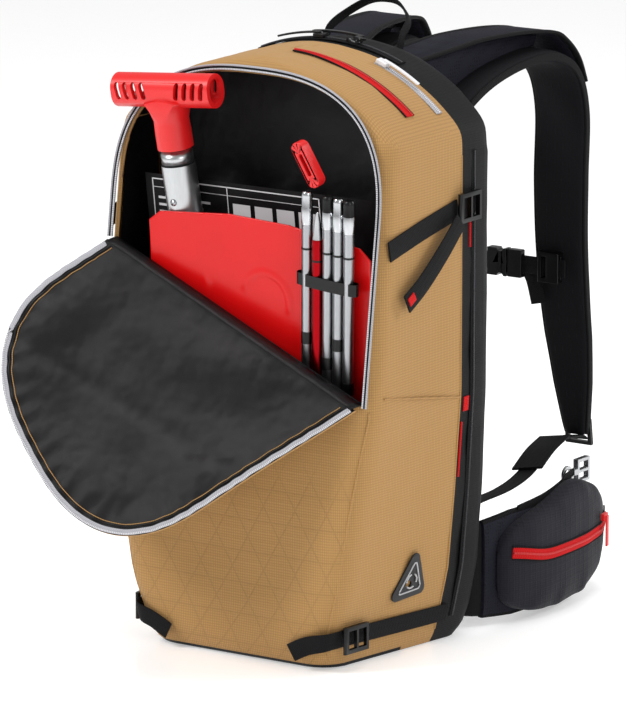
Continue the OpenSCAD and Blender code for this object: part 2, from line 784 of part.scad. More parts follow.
// The pocket's floor and back wall, and the sleeve that holds the tools off the wall.
wall_half = side_w(-pocket_back_y, pocket_floor) - liner_out - liner_t - 1.5;
floor_half = wall_half - 14;
module tool_sleeve() {
  color("#3a373f") {
    block([-floor_half, -72, pocket_floor], [floor_half, -pocket_back_y - gap, pocket_floor + liner_t]);
    block([-wall_half, -pocket_back_y, pocket_floor], [wall_half, liner_t - pocket_back_y, dome_start]);
    in_pocket() translate([-wall_half, tube_r + sleeve_gap, 6]) cube([2 * wall_half, 1.4, 332]);
  }
}

module stadium(w, h) {
  r = min(w, h) / 2;
  square([max(w - 2 * r, 0.01), h], center = true);
  for (s = [-1, 1]) translate([s * (w / 2 - r), 0]) circle(r = r);
}

module shovel_grip() {
  color(red_c) on_shaft() difference() {
    union() {
      rotate([90, 0, 90]) linear_extrude(grip_w, center = true) rotate(90) stadium(grip_h, grip_y);
      intersection() {
        rotate_extrude() polygon([[0, 0], [24, -10], [20, -18], [17, -28], [inner_r + 3, -40],
          [inner_r + 3, -56], [0, -56]]);
        cube([60, 2 * tube_r + tool_gap, 120], center = true);
      }
    }
    rotate([90, 0, 90]) linear_extrude(grip_w + 2, center = true) rotate(90)
      stadium(grip_h - 9, grip_y - 9);
    for (s = [-1, 1], k = [0:3])
      translate([s * (20 + 11 * k), 0, 2]) rotate([90, s * 12, 0]) linear_extrude(grip_y + 4, center = true)
        rotate(90) stadium(17, 6);
    translate([0, 0, -57]) cylinder(r = inner_r - 1, h = 40);
  }
}

shaft_top = -60;
module shovel_upper_shaft() {
  color(metal_c) on_shaft() difference() {
    union() {
      translate([0, 0, -300]) cylinder(r = inner_r, h = 243.6);
      translate([0, 0, shaft_top - 10]) cylinder(r = inner_r + 1, h = 10);
    }
    translate([0, 0, -301]) cylinder(r = inner_r - tube_wall, h = 246);
  }
}

lower_top = shaft_top - 12;
button_z = lower_top - 34;
module shovel_lower_shaft() {
  color(metal_c) on_shaft() difference() {
    translate([0, 0, shaft_foot - grip_z]) cylinder(r = tube_r, h = grip_z - shaft_foot + lower_top);
    translate([0, 0, shaft_foot - grip_z - 1])
      cylinder(r = tube_r - tube_wall, h = grip_z - shaft_foot + lower_top + 2);
    translate([0, 0, button_z]) rotate([90, 0, 0]) cylinder(r = 3.4, h = tube_r + 5);
  }
}

module shaft_button() {
  seat = tube_r - tube_wall;
  color(metal_c) on_shaft() translate([0, 0, button_z]) rotate([90, 0, 0])
    translate([0, 0, seat + 0.7]) cylinder(r = 3.1, h = tube_wall + 0.25);
}

blade_x = 4;
blade_lift = 6;
module shovel_blade() {
  w = blade_w / 2;
  l = blade_l;
  color(red_c) in_pocket() translate([blade_x, -tube_r - tool_gap, 0]) rotate([0, blade_turn, 0])
    translate([0, 0, blade_lift]) rotate([90, 0, 0]) difference() {
      union() {
        linear_extrude(blade_t)
          polygon([[-w, 34], [-w + 10, 10], [-60, 0], [60, 0], [w - 10, 10], [w, 34], [w, l - 12],
            [w - 12, l - 2], [60, l], [34, l + 8], [-34, l + 8], [-60, l], [12 - w, l - 2], [-w, l - 12]]);
        for (s = [-1, 1]) translate([s * 62 - 5, 60, blade_t - 0.1]) cube([10, l - 120, 1.6]);
      }
      for (s = [-1, 1]) translate([s * (w - 34), l - 120, -1]) cylinder(r = 6, h = 10);
    }
}

probe_x = 108;
probe_y = -(tube_r + tool_gap + blade_t + 1.6 + tool_gap + probe_d / 2);
probe_pitch = probe_d + 0.6;
probe_foot = 14;
module on_probe() {
  in_pocket() translate([probe_x, probe_y, grip_z - 86]) rotate([0, probe_turn, 0])
    translate([0, 0, probe_foot - probe_l]) children();
}

module probe_segments() {
  color(grey_c) on_probe() {
    for (k = [-2:2]) translate([k * probe_pitch, 0, k == -1 ? -10 : 0]) {
      tip = k == -1 ? 26 : 0;
      cylinder(d = probe_d, h = probe_l - 14 - tip);
      translate([0, 0, probe_l - 14 - tip])
        cylinder(d1 = probe_d, d2 = k == -1 ? 3 : probe_d - 1, h = k == -1 ? 30 : 14);
    }
    for (z = [40, 250]) translate([-2.5 * probe_pitch, -0.8, z]) cube([5 * probe_pitch, 1.6, 12]);
  }
}

tension_r = 7;
module probe_tensioner() {
  color(red_c) on_probe() translate([-1.9 * probe_pitch, 0, probe_l + 25]) rotate([90, 0, 0])
    difference() {
      linear_extrude(12, center = true) rotate(-58) stadium(46, 2 * tension_r);
      linear_extrude(20, center = true) rotate(-58) stadium(22, 4);
    }
}

front_panel();
side_panel(true);  // side_panel_left
side_panel(false);  // side_panel_right
top_panel();
base_panel();
airbag_cover();
back_panel();
pocket_liner();
tool_sleeve();
opening_zip_tape();
top_zips();
side_patch();
back_pads();
frame_sheet();
frame_stays();
airbag_bladders();
inflator_body();
pressure_gauge();
trigger_cable();
trigger_housing();
shoulder_strap(true);  // shoulder_strap_left
shoulder_strap(false);  // shoulder_strap_right
yoke_panels();
shoulder_webbing();
strap_ladder_locks();
compression_straps();
base_straps();
flap_panel();
flap_zip_tape();
haul_loop();
gas_cylinder();
piercing_pin();
inflator_lever();
trigger_handle();
white_zip_slider();
main_zip_slider_left();
main_zip_slider_right();
compression_buckle(true);  // compression_buckle_left
compression_buckle(false);  // compression_buckle_right
base_buckle_solid(true);  // base_buckle_left
base_buckle_solid(false);  // base_buckle_right
hip_wing(true);  // hip_wing_left
hip_wing(false);  // hip_wing_right
hip_pocket(true);  // hip_pocket_left
hip_pocket(false);  // hip_pocket_right
hip_zip_slider(true);  // hip_zip_slider_left
hip_zip_slider(false);  // hip_zip_slider_right
belt_buckle_loop();
belt_buckle_hook();
sternum_sliders();
sternum_webbing();
sternum_buckle_female();
sternum_buckle_male();
shovel_grip();
shovel_upper_shaft();
shovel_lower_shaft();
shaft_button();
shovel_blade();
probe_segments();
probe_tensioner();
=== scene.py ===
"""Airbag ski-touring backpack: the finished fabrics, webbing, plastics and metals over its frame."""

import json
import math

import bmesh
import bpy
from mathutils import Matrix, Vector, noise


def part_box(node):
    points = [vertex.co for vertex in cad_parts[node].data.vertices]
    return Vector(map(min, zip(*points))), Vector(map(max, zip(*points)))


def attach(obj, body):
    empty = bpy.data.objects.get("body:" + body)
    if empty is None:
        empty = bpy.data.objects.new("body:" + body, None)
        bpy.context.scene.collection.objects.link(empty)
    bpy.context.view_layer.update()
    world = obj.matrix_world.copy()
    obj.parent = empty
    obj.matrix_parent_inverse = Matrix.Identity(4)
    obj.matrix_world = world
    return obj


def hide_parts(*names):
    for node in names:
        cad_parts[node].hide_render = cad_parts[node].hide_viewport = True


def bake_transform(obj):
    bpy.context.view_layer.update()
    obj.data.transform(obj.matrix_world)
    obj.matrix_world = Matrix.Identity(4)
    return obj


bl_info = {
    "name": "Airbag touring backpack",
    "version": (1, 0, 0),
    "blender": (4, 5, 0),
    "location": "3D View > Sidebar > Backpack",
    "description": "Builds the fabrics, harness and tools of an airbag touring backpack",
    "category": "Object",
}

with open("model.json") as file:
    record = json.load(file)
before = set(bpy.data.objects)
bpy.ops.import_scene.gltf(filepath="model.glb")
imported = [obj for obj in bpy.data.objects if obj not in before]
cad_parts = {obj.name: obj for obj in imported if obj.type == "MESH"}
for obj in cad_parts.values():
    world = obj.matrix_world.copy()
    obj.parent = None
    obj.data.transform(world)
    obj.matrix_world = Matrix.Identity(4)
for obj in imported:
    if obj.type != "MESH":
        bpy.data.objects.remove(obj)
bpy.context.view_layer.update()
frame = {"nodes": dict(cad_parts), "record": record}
NODES = frame["nodes"]
BODY_OF = {n: b for b, ns in frame["record"]["behaviour"]["bodies"].items() for n in ns}
MM = 0.001
# The two sides in the order they are built, with the sign of x.
SIDES = (("right", 1), ("left", -1))


# ---- Sizes shared with the frame, in millimetres -----------------------------------------------
DOME_R = 210.0
PACK_W = 314.0
PACK_H = 571.0
BACK_Y = 110.0
FRONT_Y = 106.0
FOLD_Z = 262.0
FOLD_RISE = 128.0
OPEN_HALF = 147.0
OPEN_RISE = 298.0
ARCH_RISE = 130.0
ARCH_POWER = 2.6
LEAN = math.radians(7.6)
FOLD_GAP = 4.0
COVER_FRONT = 48.0
COVER_BACK = 88.0
DOME_Z = PACK_H - DOME_R
DOME_EDGE = math.asin(PACK_W / 2 / DOME_R)
DOME_START = DOME_Z + DOME_R * math.cos(DOME_EDGE)
BASE_INSET = ((0, 30), (10, 24), (28, 19), (76, 9), (150, 4), (250, 0))
FRONT_TAPER = ((0, 22), (28, 26), (76, 22), (150, 14), (250, 0))
BELLY = ((0, -14), (4, -9), (12, -4), (28, 2), (60, 7), (150, 6), (205, 3), (250, 0))
BACK_TOE = ((0, 10), (12, 3), (28, 0))
TOP_ROUND = ((-14, 0), (-8, 2.5), (-3, 8), (0, 16))
FRONT_CORNER = ((0, 30), (200, 30), (262, 20))
BACK_CORNER = 24.0
TOOL_LEAN = math.radians(7.8)
TUBE_R = 16.5
TOOLS_Y = -(TUBE_R + 1.6 + 10 + 1)
FLOOR_TOP = 110.0
WALL_HALF = 134.0


def between(z, table):
    """The value at z on a table of (z, value) rows."""
    if z <= table[0][0]:
        return table[0][1]
    for (a, va), (b, vb) in zip(table, table[1:]):
        if z <= b:
            return va + (vb - va) * (z - a) / (b - a)
    return table[-1][1]


def smoothstep(a, b, x):
    x = min(1.0, max(0.0, (x - a) / (b - a)))
    return x * x * (3 - 2 * x)


def half_w(z):
    return PACK_W / 2 - between(z, BASE_INSET)


def front_at(z):
    level = -FRONT_Y + (z - FOLD_Z) * math.tan(LEAN) if z > FOLD_Z else -FRONT_Y - between(z, BELLY)
    return level + between(z - PACK_H, TOP_ROUND)


def back_at(z):
    return BACK_Y - between(z, BACK_TOE) - between(z - PACK_H, TOP_ROUND)


def side_w(y, z):
    """Half width of the side wall at y and z, between its rounded corners."""
    w = half_w(z)
    wf = w - between(z, FRONT_TAPER)
    y0 = front_at(z) + between(z, FRONT_CORNER)
    y1 = back_at(z) - BACK_CORNER
    return wf + (w - wf) * (y - y0) / (y1 - y0)


def on_opening(x, s, n):
    """A point in the opening's plane: s up it and n out of it."""
    return Vector((x, -FRONT_Y + s * math.sin(LEAN) - n * math.cos(LEAN),
                   FOLD_Z + s * math.cos(LEAN) + n * math.sin(LEAN)))


def in_pocket(x, y, z):
    """A point in the stowed tools' leaning frame."""
    c, s = math.cos(TOOL_LEAN), math.sin(TOOL_LEAN)
    return Vector((x, TOOLS_Y + y * c - z * s, FLOOR_TOP + y * s + z * c))


def opening_outline(step=3):
    points = [(OPEN_HALF, 0.0)]
    for k in range(0, 181, step):
        t = math.radians(k)
        c, s = math.cos(t), math.sin(t)
        points.append((OPEN_HALF * math.copysign(abs(c) ** (2 / ARCH_POWER), c),
                       OPEN_RISE - ARCH_RISE + ARCH_RISE * abs(s) ** (2 / ARCH_POWER)))
    points.append((-OPEN_HALF, FOLD_RISE))
    return points


# ---- Colours and materials ---------------------------------------------------------------------
MATH = "ShaderNodeMath"
MIX = "ShaderNodeMix"
NOISE = "ShaderNodeTexNoise"
# The front's triangles: a row's height in mm, and where they start and end to fade, in metres.
LATTICE_ROW = 31.2
LATTICE_FADE = (0.225, 0.165)


def linear(code):
    """A linear colour from an sRGB hex value."""
    rgb = [int(code[k:k + 2], 16) / 255 for k in (1, 3, 5)]
    return tuple(c / 12.92 if c <= 0.04045 else ((c + 0.055) / 1.055) ** 2.4 for c in rgb) + (1.0,)


def add(tree, kind, links=None, **settings):
    """One node with its settings. Each socket in links takes a value, a socket or a node's output."""
    made = tree.nodes.new(kind)
    for key, value in settings.items():
        setattr(made, key, value)
    for key, value in (links or {}).items():
        if isinstance(value, bpy.types.Node):
            value = next(out for out in value.outputs if out.enabled)
        if isinstance(value, bpy.types.NodeSocket):
            tree.links.new(value, made.inputs[key])
        else:
            made.inputs[key].default_value = value
    return made


def new_material(name):
    mat = bpy.data.materials.new(name)
    mat.use_nodes = True
    mat.node_tree.nodes.clear()
    return mat, mat.node_tree


def close(mat, tree, colour, height, bump, depth, **shader):
    """Joins a colour and a height to the surface and returns the material."""
    sockets = {key.replace("_", " ").title().replace("Ior", "IOR"): value for key, value in shader.items()}
    sockets["Base Color"] = colour
    sockets["Normal"] = add(tree, "ShaderNodeBump", {"Strength": bump, "Distance": depth, "Height": height})
    add(tree, "ShaderNodeOutputMaterial", {0: add(tree, "ShaderNodeBsdfPrincipled", sockets)})
    return mat


def axes(tree, way="wall"):
    """Two coordinates in metres, over a wall, over a level surface or, from its own map, over a strap."""
    place = add(tree, "ShaderNodeTexCoord").outputs["UV" if way == "strap" else "Object"]
    split = add(tree, "ShaderNodeSeparateXYZ", {0: place}).outputs
    if way == "wall":
        return add(tree, MATH, {0: split[0], 1: split[1]}, operation="ADD"), split[2]
    return split[0], split[1]


def yarns(tree, where, period_mm, sharp):
    """A ridge every period along a coordinate given in metres."""
    turn = add(tree, MATH, {0: where, 1: math.pi / (period_mm * MM)}, operation="MULTIPLY")
    wave = add(tree, MATH, {0: turn}, operation="SINE")
    size = add(tree, MATH, {0: wave}, operation="ABSOLUTE")
    return add(tree, MATH, {0: size, 1: sharp}, operation="POWER")


def cloud(tree, scale, detail=3.0):
    """Soft blotches, scale of them to a metre."""
    spot = add(tree, "ShaderNodeTexCoord").outputs["Object"]
    return add(tree, NOISE, {"Vector": spot, "Scale": scale, "Detail": detail})


def summed(tree, *parts):
    """The sum of several patterns, each given with its weight."""
    total = 0.0
    for pattern, weight in parts:
        part = add(tree, MATH, {0: pattern, 1: weight}, operation="MULTIPLY")
        total = add(tree, MATH, {0: total, 1: part}, operation="ADD")
    return total


def stained(tree, colour, where, share, other):
    """A colour taken up to share of the way to the other one where a pattern is high."""
    amount = add(tree, MATH, {0: where, 1: share}, operation="MULTIPLY")
    return add(tree, MIX, {0: amount, 6: colour, 7: linear(other)}, data_type="RGBA")


def woven(name, code, dark, period=2.6, grid=10.4, way="wall", roughness=0.75, sheen=0.05,
          lattice=False, shine=0.3):
    """A woven face fabric: 0.6 mm yarns drawn as 2.6 mm ones so that they show, and a ripstop grid."""
    mat, tree = new_material(name)
    u, v = axes(tree, way)
    fine = add(tree, MATH, {0: yarns(tree, u, period, 0.6), 1: yarns(tree, v, period, 0.6)},
               operation="MULTIPLY")
    lines = add(tree, MATH, {0: yarns(tree, u, grid, 26.0), 1: yarns(tree, v, grid, 26.0)},
                operation="MAXIMUM")
    height = summed(tree, (fine, 0.55), (lines, 0.6))
    gaps = add(tree, MATH, {0: 1.0, 1: fine}, operation="SUBTRACT")
    colour = stained(tree, linear(code), gaps, 0.85, dark)
    colour = stained(tree, colour, cloud(tree, 9.0), 0.22, dark)
    if lattice:
        # Debossed triangles: three families of thin grooves that fade out up the front.
        zone = add(tree, "ShaderNodeMapRange", {0: v, 1: LATTICE_FADE[0], 2: LATTICE_FADE[1]})
        groove = yarns(tree, v, LATTICE_ROW, 160.0)
        for slope in (-math.sqrt(3), math.sqrt(3)):
            slant = summed(tree, (v, 1.0), (u, slope))
            groove = add(tree, MATH, {0: groove, 1: yarns(tree, slant, 2 * LATTICE_ROW, 300.0)},
                         operation="MAXIMUM")
        groove = add(tree, MATH, {0: groove, 1: zone}, operation="MULTIPLY")
        height = summed(tree, (height, 1.0), (groove, -0.9))
        colour = stained(tree, colour, groove, 0.35, dark)
    return close(mat, tree, colour, height, 0.8, 0.0004, roughness=roughness, sheen_weight=sheen,
                 sheen_roughness=0.5, specular_ior_level=shine)


def satin(name, code, dark):
    """A coated twill lining: low sheen folds over a 0.8 mm twill, drawn at 1.2 mm so that it shows."""
    mat, tree = new_material(name)
    u, v = axes(tree)
    twill = yarns(tree, summed(tree, (u, 1.0), (v, 1.0)), 1.2, 0.8)
    soft = cloud(tree, 28.0, 2.0)
    colour = stained(tree, linear(code), soft, 1.0, dark)
    return close(mat, tree, colour, summed(tree, (twill, 0.12), (soft, 3.0)), 0.8, 0.0014, roughness=0.4,
                 specular_ior_level=0.22)


def webbing(name, code, light):
    """Nylon webbing: ribs across it every 2.2 mm, broken by a chevron."""
    mat, tree = new_material(name)
    across, along = axes(tree, "strap")
    lean = yarns(tree, across, 5.0, 1.0)
    rib = yarns(tree, summed(tree, (along, 1.0), (lean, 0.0016)), 2.2, 0.7)
    return close(mat, tree, stained(tree, linear(code), rib, 0.55, light), rib, 0.7, 0.0005, roughness=0.7,
                 specular_ior_level=0.14)


def spacer_mesh(name, code, dark, cell=3.4):
    """A knitted spacer mesh: round holes over a softer ground."""
    mat, tree = new_material(name)
    spot = add(tree, "ShaderNodeTexCoord").outputs["Object"]
    holes = add(tree, "ShaderNodeTexVoronoi", {"Vector": spot, "Scale": 1 / (cell * MM), "Randomness": 0.25})
    rim = add(tree, "ShaderNodeMapRange", {0: holes.outputs["Distance"], 1: 0.18, 2: 0.45})
    colour = stained(tree, linear(dark), rim, 1.0, code)
    colour = stained(tree, colour, cloud(tree, 12.0), 0.35, dark)
    return close(mat, tree, colour, rim, 0.5, 0.0006, roughness=0.85, specular_ior_level=0.15)


def quilted(name, code, light):
    """A dark strap face with short pressed slots, 16 mm apart along it and 9 mm across."""
    mat, tree = new_material(name)
    across, along = axes(tree, "strap")
    slot = add(tree, MATH, {0: yarns(tree, across, 9.0, 60.0), 1: yarns(tree, along, 16.0, 3.0)},
               operation="MULTIPLY")
    grain = cloud(tree, 900.0, 2.0)
    return close(mat, tree, stained(tree, linear(code), grain, 0.5, light),
                 summed(tree, (grain, 0.3), (slot, -1.0)), 0.6, 0.0006, roughness=0.8,
                 specular_ior_level=0.15)


def moulded(name, code, roughness, grain=700.0, bump=0.08, wear="#000000", **more):
    """Injection-moulded plastic with a fine spark-eroded grain and slight tone changes."""
    mat, tree = new_material(name)
    colour = stained(tree, linear(code), cloud(tree, 30.0), 0.18, wear)
    return close(mat, tree, colour, cloud(tree, grain, 2.0), bump, 0.0003, roughness=roughness, **more)


def metal(name, code, dark, roughness):
    """Drawn or turned metal: streaks along it under a satin finish."""
    mat, tree = new_material(name)
    spot = add(tree, "ShaderNodeTexCoord").outputs["Object"]
    place = add(tree, "ShaderNodeMapping", {"Vector": spot, "Scale": (1.0, 1.0, 0.03)})
    lines = add(tree, NOISE, {"Vector": place, "Scale": 900.0, "Detail": 3.0})
    return close(mat, tree, stained(tree, linear(code), lines, 0.4, dark), lines, 0.06, 0.0002,
                 roughness=roughness, metallic=1.0)


def coil(name, code, dark):
    """A zip's nylon coil, or thread: a turn every 1.8 mm along it."""
    mat, tree = new_material(name)
    turn = yarns(tree, axes(tree, "strap")[1], 1.8, 0.8)
    return close(mat, tree, stained(tree, linear(dark), turn, 1.0, code), turn, 0.9, 0.0006, roughness=0.5)


# What each finish is made of, and how it was made.
RECIPES = {
    # Polyamide ripstop: matt, faintly shiny where the thick yarns cross.
    "tan_ripstop": lambda c: woven("polyamide_ripstop_tan", c.tan, "#8A6A40"),
    "tan_lattice": lambda c: woven("polyamide_ripstop_tan_front", c.tan, "#8A6A40", lattice=True),
    "tan_top": lambda c: woven("polyamide_ripstop_tan_top", c.tan, "#8A6A40", way="level"),
    # Textured polyamide: the coarser, nearly black cloth of the back and the base.
    "cordura": lambda c: woven("textured_polyamide_black", c.black, "#060607", 2.2, 400.0, roughness=0.6,
                               sheen=0.0, shine=0.16),
    "navy_ripstop": lambda c: woven("polyamide_ripstop_navy", c.navy, "#0C0C11", 2.2, 8.8, shine=0.2),
    # Polyurethane-coated lining: satin folds.
    "lining": lambda c: satin("coated_lining_black", c.lining, "#0D0C0E"),
    "webbing": lambda c: webbing("nylon_webbing_black", "#060607", "#17171A"),
    "red_webbing": lambda c: webbing("polyester_tape_red", "#A80F12", c.red),
    "grey_tape": lambda c: webbing("polyester_tape_grey", "#8F8F95", "#BEBEC3"),
    "binding": lambda c: webbing("grosgrain_binding_black", "#060607", "#131316"),
    "air_mesh": lambda c: spacer_mesh("spacer_mesh_navy", c.navy, "#121218"),
    "black_mesh": lambda c: quilted("embossed_foam_face_black", "#0B0B0E", "#17171B"),
    # ABS and acetal: moulded, satin, with soft highlights on the edges.
    "buckle": lambda c: moulded("acetal_black", "#050506", 0.34, specular_ior_level=0.3),
    "red_plastic": lambda c: moulded("glass_filled_nylon_red", c.red, 0.38, 900.0, 0.1, "#7A0A0A"),
    "red_gloss": lambda c: moulded("polypropylene_red_gloss", "#D20C0E", 0.3, 60.0, 0.02, "#7E0708",
                                  coat_weight=0.1, coat_roughness=0.12, specular_ior_level=0.25),
    "white": lambda c: moulded("enamelled_zinc_white", "#E3E3E6", 0.3),
    "rubber": lambda c: moulded("moulded_rubber_black", "#18181B", 0.62, 500.0, 0.2),
    "pale_rubber": lambda c: moulded("moulded_rubber_grey", "#B4B4B6", 0.6, 500.0, 0.2),
    "print": lambda c: moulded("screen_print_white", "#D9D9DB", 0.6, 500.0, 0.05),
    "frame_plastic": lambda c: moulded("polyethylene_sheet_grey", "#38383C", 0.55),
    "bladder": lambda c: woven("coated_nylon_orange", "#C8481E", "#7E2A10", 1.2, 8.0),
    # Anodised aluminium: cool grey and satin, with drawing lines.
    "aluminium": lambda c: metal("anodised_aluminium", "#C3C5C6", "#8D8F92", 0.32),
    "polished": lambda c: metal("polished_aluminium", "#C4C6C8", "#8F9194", 0.2),
    "probe_tube": lambda c: metal("anodised_probe_tube", "#A2A4A7", "#77797C", 0.3),
    "probe_red": lambda c: metal("anodised_red_tube", "#A01018", "#5E080D", 0.28),
    "steel": lambda c: metal("ground_steel", "#A9ABAD", "#6E7073", 0.3),
    "zip_coil": lambda c: coil("nylon_coil_grey", "#D6D6DA", "#6A6A70"),
    "black_coil": lambda c: coil("nylon_coil_black", "#26262A", "#08080A"),
    "red_coil": lambda c: coil("nylon_coil_red", c.red, "#6E0A0A"),
    # Bonded thread.
    "thread": lambda c: coil("polyester_thread_gold", "#B58A4E", "#5A4325"),
    "floor": lambda c: moulded("painted_board_white", "#FFFFFF", 0.24, 40.0, 0.0, "#F2F2F3",
                             emission_color=(1, 1, 1, 1), emission_strength=0.32),
}
made_materials = {}


def finish(name):
    """The named finish, made once."""
    if name not in made_materials:
        made_materials[name] = RECIPES[name](bpy.context.scene.pack_colours)
    return made_materials[name]


# ---- Mesh helpers ------------------------------------------------------------------------------
def surface(bm, rows, cols, place, uv=None, mat=0):
    """A grid of rows by cols cells, each corner put where place(row, col) says, in millimetres."""
    layer = bm.loops.layers.uv.verify()
    made = bmesh.ops.create_grid(bm, x_segments=rows, y_segments=cols, size=0.5)["verts"]
    spot = {}
    for v in made:
        spot[v] = (round((v.co.x + 0.5) * rows), round((v.co.y + 0.5) * cols))
        v.co = Vector(place(*spot[v])) * MM
    for face in {f for v in made for f in v.link_faces}:
        face.material_index = mat
        face.smooth = True
        if uv:
            for loop in face.loops:
                loop[layer].uv = [c * MM for c in uv(*spot[loop.vert])]
    return made


def close_mesh(bm, fill=True):
    """Joins doubled points, closes the ends and turns the faces outwards."""
    bmesh.ops.remove_doubles(bm, verts=bm.verts, dist=2e-6)
    if fill:
        edges = [e for e in bm.edges if e.is_boundary]
        if edges:
            bmesh.ops.holes_fill(bm, edges=edges, sides=0)
    bmesh.ops.recalc_face_normals(bm, faces=bm.faces)


def piece(name, bm, body, finishes, replaced=(), sharp=38, bevel=0.0, levels=0, thick=0.0):
    """A finished piece from a bmesh, riding on its body."""
    mesh = bpy.data.meshes.new(name)
    bm.to_mesh(mesh)
    bm.free()
    obj = bpy.data.objects.new(name, mesh)
    bpy.context.scene.collection.objects.link(obj)
    for f in finishes:
        mesh.materials.append(finish(f))
    mesh.shade_smooth()
    mesh.set_sharp_from_angle(angle=math.radians(sharp))
    if thick:
        mod = obj.modifiers.new("wall", "SOLIDIFY")
        mod.thickness = thick * MM
        mod.offset = -1
    if bevel:
        mod = obj.modifiers.new("edges", "BEVEL")
        mod.width = bevel * MM
        mod.segments = 2
        mod.limit_method = "ANGLE"
        mod.angle_limit = math.radians(32)
        mod.harden_normals = True
    if levels:
        mod = obj.modifiers.new("soft", "SUBSURF")
        mod.levels = mod.render_levels = levels
    if body:
        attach(obj, body)
    if replaced:
        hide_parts(*replaced)
    return obj


def refined(node_name, finish_name, bevel=0.5, name=None, sharp=38):
    """A copy of a hard CAD piece with its doubles merged and its edges eased."""
    bm = bmesh.new()
    bm.from_mesh(NODES[node_name].data)
    bmesh.ops.remove_doubles(bm, verts=bm.verts, dist=1e-6)
    for face in bm.faces:
        face.material_index = 0
    return piece(name or node_name + "_body", bm, BODY_OF[node_name], [finish_name], (node_name,),
                 sharp, bevel)


def spline(points, spacing):
    """Evenly spaced points on a smooth curve through points, in millimetres."""
    p = [Vector(q) for q in points]
    dense = []
    for k in range(len(p) - 1):
        a, b, c, d = p[max(k - 1, 0)], p[k], p[k + 1], p[min(k + 2, len(p) - 1)]
        for i in range(16):
            f = i / 16
            dense.append(0.5 * ((2 * b) + (c - a) * f + (2 * a - 5 * b + 4 * c - d) * f * f
                                + (3 * b - a - 3 * c + d) * f ** 3))
    dense.append(p[-1])
    return even(dense, spacing)


def even(dense, spacing):
    """The same line with its points about spacing apart, and how far along each is, in shares."""
    reach = [0.0]
    for a, b in zip(dense, dense[1:]):
        reach.append(reach[-1] + (b - a).length)
    count = max(2, round(reach[-1] / spacing))
    out = []
    k = 0
    for i in range(count + 1):
        at = reach[-1] * i / count
        while k < len(dense) - 2 and reach[k + 1] < at:
            k += 1
        step = reach[k + 1] - reach[k]
        out.append(dense[k].lerp(dense[k + 1], (at - reach[k]) / step if step else 0))
    return out


def frames(path, side):
    """Tangent, across and up at each point of path. side is one vector or one for each point."""
    out = []
    for i in range(len(path)):
        t = (path[min(i + 1, len(path) - 1)] - path[max(i - 1, 0)]).normalized()
        s = Vector(side[i]) if isinstance(side, list) else Vector(side)
        e1 = (s - t * s.dot(t)).normalized()
        out.append((t, e1, t.cross(e1)))
    return out


def flat_section(w, t, n=3):
    """A strip's outline with round edges."""
    r = t / 2
    out = []
    for cx, start in ((w / 2 - r, -90), (r - w / 2, 90)):
        for k in range(n + 1):
            a = math.radians(start + 180 * k / n)
            out.append((cx + r * math.cos(a), r * math.sin(a)))
    return out


def pad_section(w, t, n=20, crown=0.55):
    """A crowned pad's outline, full in the middle and pinched at its edges."""
    out = []
    for k in range(n):
        a = 2 * math.pi * (k + 0.5) / n
        c, s = math.cos(a), math.sin(a)
        out.append((w / 2 * math.copysign(abs(c) ** 0.5, c), t / 2 * math.copysign(abs(s) ** crown, s)))
    return out


def sweep(bm, path, side, section, widths=None, mat=0, ripple=None):
    """A section carried along path. widths scales its width at each point."""
    ways = frames(path, side)
    along = [0.0]
    for a, b in zip(path, path[1:]):
        along.append(along[-1] + (b - a).length)
    n = len(section)

    def place(i, j):
        a, b = section[j % n]
        k = widths[i] if widths else 1.0
        lift = ripple(along[i], a * k) if ripple else 0.0
        return path[i] + ways[i][1] * a * k + ways[i][2] * (b + lift)

    def uv(i, j):
        return section[j % n][0] * (widths[i] if widths else 1.0), along[i]

    surface(bm, len(path) - 1, n, place, uv, mat)


def band(name, path, w, t, side, finish_name, body, replaced=(), spacing=4):
    """A flat strap along a smooth path."""
    bm = bmesh.new()
    sweep(bm, spline(path, spacing), side, flat_section(w, t))
    close_mesh(bm)
    return piece(name, bm, body, [finish_name], replaced)


def bind(bm, line, side, half, section, widths=None, flat=False, mat=0):
    """Binding rolled along both edges of a strap, half its width out from the line."""
    ways = frames(line, side)
    for k in (-1, 1):
        edge = [p + way[1] * (k * half * (widths[i] if widths else 1.0))
                for i, (p, way) in enumerate(zip(line, ways))]
        sweep(bm, edge, [way[1] if flat else way[2] for way in ways], section, mat=mat)


def stretched(values, count):
    """values spread evenly over count points."""
    out = []
    for i in range(count):
        f = i / (count - 1) * (len(values) - 1)
        k = min(int(f), len(values) - 2)
        out.append(values[k] + (values[k + 1] - values[k]) * (f - k))
    return out


def tube(bm, line, d, mat=0, n=8):
    """A round cord through points that are close together."""
    section = [(d / 2 * math.cos(2 * math.pi * k / n), d / 2 * math.sin(2 * math.pi * k / n))
               for k in range(n)]
    sweep(bm, line, (0.31, 0.17, 0.93), section, mat=mat)


def mirrored(points, k):
    return [(k * x, y, z) for x, y, z in points]


def slice_at(bm, spot, way, drop=False, geom=None):
    """Cuts the mesh, or only geom, by a plane at spot in millimetres. drop clears the side way faces."""
    if geom is None:
        geom = bm.verts[:] + bm.edges[:] + bm.faces[:]
    bmesh.ops.bisect_plane(bm, geom=geom, dist=1e-7, plane_co=Vector(spot) * MM, plane_no=way,
                           clear_outer=drop)


def clip(bm, polygon):
    """Cuts away what lies outside a convex outline given anticlockwise in x and y, in millimetres."""
    for a, b in zip(polygon, polygon[1:] + polygon[:1]):
        edge = Vector((b[0] - a[0], b[1] - a[1], 0))
        if edge.length > 1e-6:
            slice_at(bm, (a[0], a[1], 0), Vector((edge.y, -edge.x, 0)).normalized(), True)


